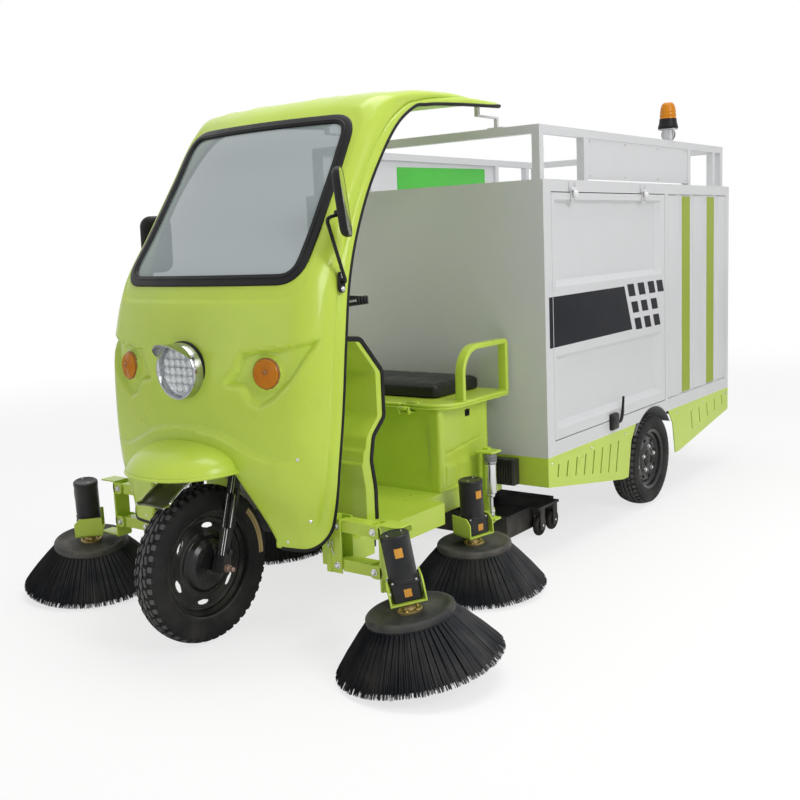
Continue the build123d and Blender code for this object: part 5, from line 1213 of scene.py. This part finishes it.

# a plain green panel inside the right sign panel, dark sheets behind the skirt's slots that paint the shade in them,
# and bolts along sign panel and skirt
farPanel = slab([(0.418, 1.752), (1.35, 1.762), (1.35, 1.905), (0.418, 1.89)], 0.0015, outLeft(-0.6355), 0.0004)
putPiece("inner_sign_board", farPanel, "chassis", "panel_green")
slotShadeSheets = [[(-0.262, 0.474), (0.47, 0.474), (0.47, 0.236), (-0.262, 0.352)], [(1.25, 0.474), (2.01, 0.474),
        (2.01, 0.35), (1.25, 0.24)]]
# dark sheets that paint the shade seen through the skirt's slots
putPiece("skirt_slot_shade", bothSides(*(slab(outline, 0.004, outLeft(0.6762)) for outline in slotShadeSheets)), "chassis",
    "frame_black")
boxBolts = [bolt((0.652, y, z), sideways, 0.0046) for y in (0.225, 0.62, 1.03, 1.425) for z in (1.752, 1.912)]
boxBolts += [bolt((0.686, y, 0.452), sideways, 0.0052) for y in (-0.27, 0.13, 0.52, 1.21, 1.62, 2.0)]
putPiece("box_side_bolts", bothSides(*boxBolts), "chassis", "bright_steel")

# beacon and horn
beaconBox = np.array(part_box("beacon"))
beaconX, beaconY, _ = beaconBox.mean(0)
beacon = dict(low=beaconBox[0, 2], top=beaconBox[1, 2], neck=0.044, lensLow=0.05, rings=7)
baseProfile = [(0, 0), (0, 0.052), (0.004, 0.054), (0.012, 0.0535), (0.02, 0.051), (0.032, 0.048), (0.044, 0.0465),
    (0.05, 0.0465), (0.053, 0.0455), (0.053, 0.042), (0.048, 0.041), (0.048, 0)]
putPiece("beacon_base", lathe(baseProfile, (beaconX, beaconY, beacon["low"]), count=56), "chassis", "seal_rubber",
    ("beacon",))
# a dome that is nearly upright below and round on top, with fine rings that fade towards the top
s = np.linspace(0, 1, 64)
lensLow = beacon["low"] + beacon["lensLow"]
high = lensLow + (beacon["top"] - lensLow) * np.sin(s * np.pi / 2) ** 0.9
radius = beacon["neck"] * np.cos(s * np.pi / 2) ** 0.42 + 0.0007 * np.cos(s * beacon["rings"] * 2 * np.pi) * (1 - s)
radius[-1] = 0.0
domeProfile = np.vstack([[(lensLow, 0)], beside(high, radius)])
putPiece("beacon_dome", lathe(domeProfile, (beaconX, beaconY, 0), count=56), "chassis", "amber_lens", sharp=60)
hornProfile = [(-0.0162, 0), (-0.0162, 0.03), (-0.013, 0.0357), (-0.007, 0.0367), (-0.001, 0.0362), (0.003, 0.0362),
    (0.007, 0.0342), (0.0098, 0.024), (0.0113, 0.022), (0.0113, 0.01), (0.0133, 0.008), (0.0133, 0)]
putPiece("horn_rim", lathe(hornProfile, (beaconX - 0.026, beaconY + 0.068, 2.002), (0, -1, 0)), "chassis",
    "black_plastic")
print("beacon and horn made")

# seat: the box, its hinged plate and the armrests
seatBox = dict(half=0.45, front=-0.814, rear=-0.44, low=0.41, high=0.771, corner=0.014, wall=0.004, hinges=(-0.3, 0.3),
    hingeY=-0.859, hingeZ=0.775, sideMarks=(-0.79, -0.783, -0.776, -0.77, -0.706, -0.7, -0.672, -0.666, -0.6, -0.594,
        -0.552, -0.541, -0.532, -0.523, -0.512, -0.484, -0.478, -0.47, -0.462),
    frontMarks=(-0.405, -0.39, -0.03, -0.015, 0.015, 0.03, 0.39, 0.405),
    heights=(0.414, 0.42, 0.426, 0.432, 0.505, 0.512, 0.522, 0.53, 0.566, 0.572, 0.578, 0.584, 0.59, 0.596, 0.602,
        0.608, 0.614, 0.754, 0.762))


def seatWalls():
    # one wall round the box: each place on it moves inwards by the depth of the pressings there; kind is 0 on a
    # side, 1 round a corner and 2 in front
    h, f, r, c = (seatBox[k] for k in ("half", "front", "rear", "corner"))
    ys = marksTo(f + c, r, seatBox["sideMarks"], steps=2)[::-1]
    xs = marksTo(-h + c, h - c, seatBox["frontMarks"], steps=2)[::-1]
    arc = np.linspace(0, np.pi / 2, 7)[1:-1]
    left, corner = beside(h, ys, 0), beside(h - c + c * np.cos(arc), f + c - c * np.sin(arc), 1)
    path = np.vstack([left, corner, beside(xs, f, 2), (corner * [-1, 1, 1])[::-1], (left * [-1, 1, 1])[::-1]])
    z = marksTo(seatBox["low"], seatBox["high"], seatBox["heights"], steps=2)[None]
    x, y, kind = path.T[..., None]
    panel = pressing(y, z, (-0.79, -0.462, 0.414, 0.762), (-0.782, -0.47, 0.42, 0.754), 0.006)
    slope = 0.571 + (y + 0.77) * 0.118  # height of the groove, which rises to the rear
    groove = 0.006 * np.clip(1 - np.abs(z - slope) / 0.007, 0, 1) * step(y, -0.776, -0.77) * (
        1 - step(y, -0.484, -0.478))
    pads = sum(pressing(y, z, (a - 0.006, b + 0.006, 0.44, 0.53), (a, b, 0.446, 0.512), 0.007) for a,
        b in ((-0.77, -0.706), (-0.666, -0.6)))
    rib = 0.008 * np.clip(1 - np.abs(y + 0.527) / 0.015, 0, 1) * (1 - step(z, 0.53, 0.566))
    slot = pressing(y, z, (-0.782, -0.706, 0.4135, 0.4265), (-0.776, -0.712, 0.416, 0.424), 0.004)
    front = pressing(np.abs(x), z, (0.02, 0.4, 0.43, 0.754), (0.03, 0.39, 0.44, 0.742), 0.005)
    inward = np.where(kind == 0, panel + groove - pads - rib + slot, np.where(kind == 2, front, 0))
    return grid(beside(x - np.sign(x) * (kind == 0) * inward, y + inward * (kind == 2), z))


thicken(putPiece("seat_box_shell", seatWalls(), "chassis", "cab_green", ("seat_box",), sharp=25, outward=False),
    seatBox["wall"])
back, pins = [block((2 * seatBox["half"] - 0.009, 0.005, 0.36), (0, seatBox["rear"] - 0.003, 0.5905), 0.001)], []
for x in seatBox["hinges"]:
    y, z = seatBox["hingeY"], seatBox["hingeZ"]
    back.append(block((0.06, 0.046, 0.006), (x, -0.836, z - 0.018), 0.003))
    back += [slab(roundRect(0.018, 0.032, 0.007), 0.01, outLeft(x + dx - 0.005, y, z - 0.008))
        for dx in (-0.025, 0.025)]
    pins.append(barrel(0.034, 0.005, (x, y, z), sideways, 20, 0.0005))
lockProfile = [(0, 0), (0, 0.0165), (0.003, 0.0165), (0.006, 0.0145), (0.006, 0.0105), (0.0035, 0.01), (0.0035, 0.0032),
    (0.006, 0.003), (0.006, 0)]
locks = bothSides(lathe(lockProfile, (0.446, -0.598, 0.726), sideways, 32), block((0.008, 0.04, 0.03),
        (0.4455, -0.594, 0.726), 0.005))
putPiece("seat_box_back", join(back), "chassis", "cab_green")
putPiece("seat_box_pins", join(pins), "chassis", "bright_steel")
putPiece("seat_box_locks", locks, "chassis", "black_plastic")

# rows are the inset and height of the plate's edge, which is rolled twice
seatPlate = dict(half=0.514, front=-0.847, rear=-0.332, corner=0.12, rearCorner=0.02, notch=0.032, notchRear=-0.837,
    rows=((0.008, 0.7713), (0.003, 0.7722), (0.0006, 0.774), (0, 0.776), (0.001, 0.779), (0.0045, 0.7805),
        (0.0048, 0.783), (0.0012, 0.7846), (0, 0.787), (0.0002, 0.79), (0.0016, 0.7932), (0.0048, 0.7955),
        (0.009, 0.7962)))


def seatPlateOutline():
    # square at the rear, large round corners in front, and two notches for the hinges
    h, f, r, c, n, q = (seatPlate[k] for k in ("half", "front", "rear", "corner", "notch", "rearCorner"))
    arc = np.linspace(0, np.pi / 2, 13)
    rightFront = beside(h - c + c * np.cos(-arc), f + c + c * np.sin(-arc))
    notches = [(x + side * n, y) for x in (0.3, -0.3) for side, y in
        ((1, f), (1, seatPlate["notchRear"]), (-1, seatPlate["notchRear"]), (-1, f))]
    rear = beside(h - q + q * np.cos(arc), r - q + q * np.sin(arc))
    return np.vstack([rear[::-1], rightFront, notches, (rightFront * [-1, 1])[::-1], rear * [-1, 1]])[::-1]


plateParts = [stacked(seatPlateOutline(), seatPlate["rows"])]
for x in seatBox["hinges"]:
    plateParts += [barrel(0.017, 0.01, (x, seatBox["hingeY"], seatBox["hingeZ"]), sideways),
        block((0.034, 0.026, 0.008), (x, -0.846, seatBox["hingeZ"] + 0.0005), 0.002),
        block((0.058, 0.024, 0.007), (x * 1.08, -0.822, 0.7985), 0.002)]
putPiece("seat_plate_pan", join(plateParts), "seat_lid", "cab_green", ("seat_plate",), sharp=50)

armrest = dict(x=0.489, wide=0.042, thick=0.022, front=-0.701, rear=-0.347, foot=0.7963, top=1.019, reach=0.115)


def armrestBar():
    # a flat bar bent up, over and down: its front corner is large and its rear corner small
    f, r, foot, top, reach = (armrest[k] for k in ("front", "rear", "foot", "top", "reach"))
    angle = np.linspace(0, np.pi / 2, 13)
    curve = beside(f + reach * (1 - np.cos(angle)), top - reach + reach * np.sin(angle))
    rearBend = bend([(f + reach, top), (r, top), (r, foot)], 0.013, 4)
    line = np.vstack([[(f, foot), (f, foot + 0.06)], curve, rearBend[1:-1], [(r, foot + 0.05), (r, foot)]])
    return carry(roundRect(armrest["thick"], armrest["wide"], 0.0035, 3), np.insert(line, 0, armrest["x"], axis=1),
        sideways)


feet = [block((0.05, 0.046, 0.004), (armrest["x"] - 0.001, y, 0.7984), 0.005) for y in (-0.701, -0.356)]
putPiece("armrest_bars", bothSides(armrestBar(), *feet), "seat_lid", "cab_green", ("armrests",), sharp=40)
print("seat box, plate and armrests made")

cushionLook = dict(half=0.375, front=-0.72, rear=-0.34, low=0.7966, high=0.8566, corner=0.03, voxel=0.006, pressure=4.0,
    cap=0.008, start=0.005, quality=5, stiffness=12, frames=20, fill=0.7)
low, high, halfWide = cushionLook["low"], cushionLook["high"], cushionLook["half"]
middle, halfLong = (cushionLook["front"] + cushionLook["rear"]) / 2, (cushionLook["rear"] - cushionLook["front"]) / 2


def cushionStart():
    # a slab a little smaller than the pad, with rounded upper and lower edges
    inner = cushionLook["start"]
    outline = roundRect(2 * (halfWide - inner), 2 * (halfLong - inner), cushionLook["corner"], 8) + [0, middle]
    return stacked(outline, [(0.01, low + 0.0005), (0.003, low + 0.003), (0, low + 0.01), (0, high - 0.018),
            (0.003, high - 0.01), (0.011, high - 0.006)])


def pointsOf(mesh):
    points = np.empty(len(mesh.vertices) * 3)
    mesh.vertices.foreach_get("co", points)
    return points.reshape(-1, 3)


def evaluated(thing):
    return thing.evaluated_get(bpy.context.evaluated_depsgraph_get())


def blownUp(name, shape, look):
    # the start shape remeshed evenly and blown up as cloth, with each point's movement limited
    mesh = bpy.data.meshes.new(name + "_start")
    mesh.from_pydata(shape[0].tolist(), [], [f.tolist() for faces in shape[1] for f in faces])
    holder = show(name + "_start", mesh)
    remesh = holder.modifiers.new("even", "REMESH")
    remesh.mode, remesh.voxel_size = "VOXEL", look["voxel"]
    bpy.context.view_layer.update()
    even = bpy.data.meshes.new_from_object(evaluated(holder))
    bpy.data.objects.remove(holder)
    start = pointsOf(even)
    moved = start.copy()
    puffed = show(name + "_puffed", even)
    cloth = puffed.modifiers.new("cloth", "CLOTH").settings
    cloth.use_pressure, cloth.uniform_pressure_force = True, look["pressure"]
    cloth.effector_weights.gravity = 0.0
    cloth.quality = look["quality"]
    cloth.tension_stiffness = cloth.compression_stiffness = look["stiffness"]
    for number in range(1, look["frames"] + 1):
        scene.frame_set(number)
    moved = pointsOf(evaluated(puffed).to_mesh())
    bpy.data.objects.remove(puffed)
    scene.frame_set(1)
    size = np.linalg.norm(moved - start, axis=1, keepdims=True)
    return even, start + (moved - start) * np.minimum(1, look["cap"] / np.maximum(size, 1e-9))


cushionMesh, cushionPoints = blownUp("seat_cushion", cushionStart(), cushionLook)
x, y, z = cushionPoints.T  # views: the changes below are made in cushionPoints itself
crown = np.clip(1 - (np.abs(x) / halfWide) ** 4, 0, 1) * np.clip(1 - (np.abs(y - middle) / halfLong) ** 4, 0, 1)
# higher in the middle, with a crease
z += step(z, high - 0.03, high - 0.006) * (0.005 * crown - 0.003 * np.exp(-(x / 0.01) ** 2))
z[:] = np.clip(z, low, high + 0.006)
x[:] = np.clip(x, -halfWide - 0.006, halfWide + 0.006)
cushionMesh.vertices.foreach_set("co", cushionPoints.astype(np.float32).ravel())
cushionMesh.update()
cushionMesh.shade_smooth()
cushionMesh.materials.clear()
cushionMesh.materials.append(finish["seat_cover"])
cushion = show("seat_cushion_pad", cushionMesh)
smoother = cushion.modifiers.new("smoother", "SUBSURF")
smoother.levels = smoother.render_levels = 1
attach(cushion, "seat_lid")
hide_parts("seat_cushion")
cushionTree = BVHTree.FromPolygons(cushionPoints.tolist(), [tuple(p.vertices) for p in cushionMesh.polygons])


def seamRound(height, thick):
    # a piping cord laid where rays from all round meet the pad at that height, evened out three times
    ring = evenly(roundRect(2 * halfWide + 0.06, 2 * halfLong + 0.06, cushionLook["corner"] + 0.03, 10), 220) + [0,
        middle]
    core = beside(np.clip(ring[:, 0], 0.16 - halfWide, halfWide - 0.16), middle)
    line = []
    for p, q in zip(ring, core):
        hit = cushionTree.ray_cast((*p, height), (*unit(q - p), 0.0), 0.5)[0]
        line.append(tuple(hit) if hit else (*q, height))
    for _ in range(3):
        line = (np.roll(line, 1, 0) + 2 * np.array(line) + np.roll(line, -1, 0)) / 4
    return tube(line, thick, 8, upwards, closed=True)


putPiece("seat_cushion_piping", [seamRound(high - 0.012, 0.0032), seamRound(low + 0.01, 0.0026)], "seat_lid",
    "seat_cover")
print("seat cushion made")

# leg shield: its side edge runs through these places (y, z), and its face goes further forwards below each pressed step
shield = dict(half=0.45, strip=0.02, flange=0.045, inner=0.25, steps=(0.692, 0.644), stepOut=0.01,
    edge=((-1.392, 1.135), (-1.316, 1.127), (-1.19, 0.99), (-1.19, 0.809), (-1.262, 0.743), (-1.282, 0.652),
        (-1.262, 0.54), (-1.262, 0.41)),
    frontTop=-1.492, frontLow=-1.332, frontBend=0.64)
edgeLine = bend([(0, y, z) for y, z in shield["edge"]], 0.016, 6)


def legShield():
    # rear panel, narrow side flanges, a face set forward of them, and a deeper middle: a ring of places at each
    # point of the edge
    y, z = evenly(edgeLine, 150, closed=False)[:, 1:].T
    face = y - shield["flange"] - sum(shield["stepOut"] * (1 - step(z, at - 0.006, at + 0.006))
        for at in shield["steps"])
    lean = np.clip((z - 0.41) / (shield["frontBend"] - 0.41), 0, 1)
    front = np.minimum(shield["frontLow"] + (shield["frontTop"] - shield["frontLow"]) * lean, face - 0.012)
    face = np.maximum(face, front + 0.01)
    h, n = shield["half"], shield["inner"]
    half = [(h, y), (h, y * 0.5 + face * 0.5), (h, face + 0.004), (h - 0.0012, face + 0.0012), (h - 0.004, face),
        (n + 0.02, face), (n, face), (n, face * 0.5 + front * 0.5), (n, front)]
    ring = [beside(x, deep, z) for x, deep in half] + [beside(-x, deep, z) for x, deep in half[::-1]]
    return grid(np.stack(ring, 1), wrapV=True, capU=True)


putPiece("leg_shield_panel", legShield(), "chassis", "cab_green", ("leg_shield",), sharp=28)
strips = [carry(roundRect(shield["strip"], 0.011, 0.0035, 3),
        edgeLine + [side * (shield["half"] - 0.001), -0.005, -0.003], sideways) for side in (-1, 1)]
putPiece("leg_shield_edging", join(strips), "chassis", "seal_rubber")
topRim = carry(roundRect(0.012, 0.012, 0.0035, 3), beside(np.linspace(-0.447, 0.447, 24), -1.392, 1.137), upwards)
putPiece("leg_shield_top_edging", topRim, "chassis", "seal_rubber")

# mirrors: each side's head centre and the place (y, z) of its arm's elbow
mirror = dict(wide=0.13, thick=0.03, high=0.24, corner=0.045, turn=58, lean=6, foot=1.35, rootY=-1.537,
    left=((0.603, -1.575, 1.625), (-1.623, 1.572)), right=((0.594, -1.38, 1.51), (-1.447, 1.462)))


def mirrorSet(centre, elbow):
    # one mirror as on the left side: its black shell with the arm, and its glass, which faces the rear, is turned
    # outwards about the upright and leans back from its top
    a, b = np.radians(-mirror["turn"]), np.radians(mirror["lean"])
    m = np.eye(4)
    m[:3, :3] = np.array([(np.cos(a), -np.sin(a), 0), (np.sin(a), np.cos(a), 0), (0, 0, 1)]) @ np.array(
        [(1, 0, 0), (0, np.cos(b), -np.sin(b)), (0, np.sin(b), np.cos(b))])
    m[:3, 3] = centre
    m = m @ outRear(0)
    h, y, foot = mirror["thick"] / 2, mirror["rootY"], mirror["foot"]
    outline = roundRect(mirror["wide"], mirror["high"], mirror["corner"], 10)
    head = stacked(outline, [(0.022, -h), (0.012, -h + 0.002), (0.004, -h + 0.008), (0, -h + 0.016), (0, h - 0.001),
            (0.0015, h), (0.0035, h), (0.0045, h - 0.002)], m)
    glass = stacked(outline, [(0.006, h - 0.0025), (0.0045, h - 0.0015), (0.005, h - 0.0009), (0.012, h - 0.0004)], m)
    base = slab(roundRect(0.032, 0.074, 0.012), 0.01, outLeft(0.5485, y, foot), 0.0015)
    stem = bend([(0.55, y, foot), (0.574, y, foot), (0.572, *elbow), centre + np.array([0.003, 0.001, -0.035])], 0.018,
        8)
    knob = lathe([(-0.014, 0), (-0.014, 0.009), (-0.01, 0.012), (0.006, 0.012), (0.01, 0.009), (0.01, 0)],
        stem[-1] - 0.016 * m[:3, 2], m[:3, 2], 20)
    return join([head, base, tube(stem, 0.0066, 14), knob]), glass


(leftShell, leftGlass), (rightShell, rightGlass) = mirrorSet(*mirror["left"]), mirrorSet(*mirror["right"])
putPiece("mirror_shells", [leftShell, mirrored(rightShell)], "chassis", "black_plastic", ("mirrors",))
putPiece("mirror_glass", [leftGlass, mirrored(rightGlass)], "chassis", "lamp_chrome")
footBolts = [bolt((0.5585, mirror["rootY"], mirror["foot"] + dz), sideways, 0.0075) for dz in (-0.024, 0.024)]
putPiece("mirror_bolts", bothSides(*footBolts), "chassis", "bright_steel")

# handlebar grips: a sleeve with soft ridges round it, following the bar's end
gripLook = dict(start=np.array((0.395, -1.3535, 1.2615)), end=np.array((0.48, -1.3, 1.272)), radius=0.0165, ridges=9)
run = gripLook["end"] - gripLook["start"]
s = np.linspace(0, 1, 90)
radius = gripLook["radius"] + 0.0012 * np.cos(s * gripLook["ridges"] * 2 * np.pi) + 0.004 * (1 - step(s, 0.0,
        0.06)) - 0.002 * step(s, 0.97, 1)
length = np.linalg.norm(run)
sleeve = lathe(np.vstack([[(0, 0)], beside(s * length, radius), [(length, 0)]]), gripLook["start"], run, 28)
switchAt = gripLook["start"] - 0.026 * unit(run)
switchBox = block((0.034, 0.038, 0.044), (0, 0, 0), 0.009, axes(switchAt, upwards, unit(run)), 0.003)
button = lathe([(0, 0), (0, 0.008), (0.007, 0.008), (0.009, 0.0065), (0.0095, 0)], switchAt + [0.004, 0, 0.021],
    count=20)
lever = bend([switchAt + [0, -0.012, 0], switchAt + [0.02, -0.045, 0.002], gripLook["end"] + [-0.012, -0.052, 0.0]],
    0.018, 6)
putPiece("handlebar_grips", bothSides(sleeve, switchBox, button), "steering", "black_plastic", sharp=50)
putPiece("handlebar_levers", bothSides(tube(lever, 0.0045, 10, upwards)), "steering", "grey_metal")
print("mirrors and handlebar dressed")

# ribbed unit in front of the load box, and the casters' forks
fins = [block((0.146, 0.05, 0.12), (0.466, -0.3355, 0.412), 0.004)]
fins += [block((0.0028, 0.01, 0.112), (0.399 + 0.0134 * k, -0.364, 0.412), 0.001) for k in range(11)]
putPiece("motor_controller_fins", join(fins), "chassis", "motor_black")
forks = []
for y in (0.042, 0.171):
    fork = bend([(0.4235, y, 0.054), (0.4235, y, 0.112), (0.4565, y, 0.112), (0.4565, y, 0.054)], 0.01, 5)
    forks += [carry(roundRect(0.003, 0.034, 0.001, 2), fork, along), bolt((0.458, y, 0.054), sideways, 0.008)]
putPiece("caster_forks", bothSides(*forks), "chassis", "bright_steel")
print("small fittings made")

# floor, lamps and camera: a lamp is its place, size and power
stage = dict(floorHalf=30, floorColour=(0.96, 0.96, 0.96), floorRough=0.9, speckle=3.0, ambient=0.33, nearWhite=0.72,
    fadeFrom=3.5, fadeTo=9.0, aim=(0, 0, 1.0), key=((7.5, -2.5, 5.5), 4.0, 265), fill=((-3.0, -8.0, 3.0), 5.0, 46),
    top=((0.5, 0.5, 8.5), 6.0, 385))
reach = stage["floorHalf"]
floorMesh = bpy.data.meshes.new("floor")
floorMesh.from_pydata([(-reach, -reach, 0), (reach, -reach, 0), (reach, reach, 0), (-reach, reach, 0)], [],
    [(0, 1, 2, 3)])
show("floor", floorMesh)
pale = bpy.data.materials.new("pale_floor")
pale.use_nodes = True
floorMesh.materials.append(pale)


def addNode(tree, kind, operation=None, **values):
    node = tree.nodes.new("ShaderNode" + kind)
    if operation:
        node.operation = operation
    setInputs(node, **values)
    return node


def paintFloor(tree):
    # a pale floor with a soft variation; seen by the camera it is partly plain white, and wholly white far away:
    # share = near share, rising with distance from the middle
    shader = tree.nodes["Principled BSDF"]
    setInputs(shader, Roughness=stage["floorRough"])
    speckle = addNode(tree, "TexNoise", Scale=stage["speckle"])
    tones = stage["floorColour"], tuple(c + 0.03 for c in stage["floorColour"])
    rise = addNode(tree, "MapRange", From_Min=stage["fadeFrom"], From_Max=stage["fadeTo"], To_Min=stage["nearWhite"],
        To_Max=1.0)
    rise.interpolation_type = "SMOOTHSTEP"
    length, share, mix = (
        addNode(tree, "VectorMath", "LENGTH"), addNode(tree, "Math", "MULTIPLY"), addNode(tree, "MixShader"))
    for source, target in ((mixColours(tree, speckle.outputs["Fac"], *tones), shader.inputs["Base Color"]),
            (addNode(tree, "TexCoord").outputs["Object"], length.inputs[0]),
            (length.outputs["Value"], rise.inputs["Value"]), (rise.outputs["Result"], share.inputs[0]),
            (addNode(tree, "LightPath").outputs["Is Camera Ray"], share.inputs[1]), (share.outputs[0], mix.inputs[0]),
            (shader.outputs[0], mix.inputs[1]), (addNode(tree, "Emission").outputs[0], mix.inputs[2]),
            (mix.outputs[0], tree.nodes["Material Output"].inputs["Surface"])):
        tree.links.new(source, target)


def lightSky(tree):
    # white, dimmed to the ambient share where it lights the object, and full where it is seen, mirrored or looked
    # at through glass
    setInputs(tree.nodes["Background"], Color=(1, 1, 1, 1))
    rays, seen, seenAll = addNode(tree, "LightPath"), addNode(tree, "Math", "MAXIMUM"), addNode(tree, "Math", "MAXIMUM")
    strength = addNode(tree, "MapRange", To_Min=stage["ambient"], To_Max=1.0)
    for source, target in (
            (rays.outputs["Is Camera Ray"], seen.inputs[0]), (rays.outputs["Is Glossy Ray"], seen.inputs[1]),
            (seen.outputs[0], seenAll.inputs[0]), (rays.outputs["Is Transmission Ray"], seenAll.inputs[1]),
            (seenAll.outputs[0], strength.inputs["Value"]),
            (strength.outputs["Result"], tree.nodes["Background"].inputs["Strength"])):
        tree.links.new(source, target)


paintFloor(pale.node_tree)
scene.world = bpy.data.worlds.new("studio")
scene.world.use_nodes = True
lightSky(scene.world.node_tree)
for name in ("key", "fill", "top"):
    at, size, power = stage[name]
    lamp = bpy.data.lights.new(name, "AREA")
    lamp.shape, lamp.size, lamp.size_y, lamp.energy = "RECTANGLE", size, size * 0.7, power
    away = unit(np.subtract(at, stage["aim"]))
    show(name, lamp).matrix_world = Matrix(axes(at, away, sideways if abs(away[0]) < 0.9 else along).tolist())

cameraLook = dict(place=(2.915, -4.364, 1.495), azimuth=36.83, pitch=-8.57, roll=-2.36, lens=46.66, shiftX=-0.0019,
    shiftY=-0.0069)
azimuth, pitch, roll = (np.radians(cameraLook[k]) for k in ("azimuth", "pitch", "roll"))
ahead = np.array([-np.sin(azimuth) * np.cos(pitch), np.cos(azimuth) * np.cos(pitch), np.sin(pitch)])
level = np.array([np.cos(azimuth), np.sin(azimuth), 0])
upright = np.cross(level, ahead)
right = level * np.cos(roll) + upright * np.sin(roll)
cameraData = bpy.data.cameras.new("camera")
cameraData.lens, cameraData.sensor_width = cameraLook["lens"], 36
cameraData.shift_x, cameraData.shift_y = cameraLook["shiftX"], cameraLook["shiftY"]
scene.camera = show("camera", cameraData)
scene.camera.matrix_world = Matrix(axes(cameraLook["place"], -ahead, right).tolist())
scene.view_settings.view_transform = "Standard"
print("stage, lamps and camera made")

bpy.context.view_layer.update()
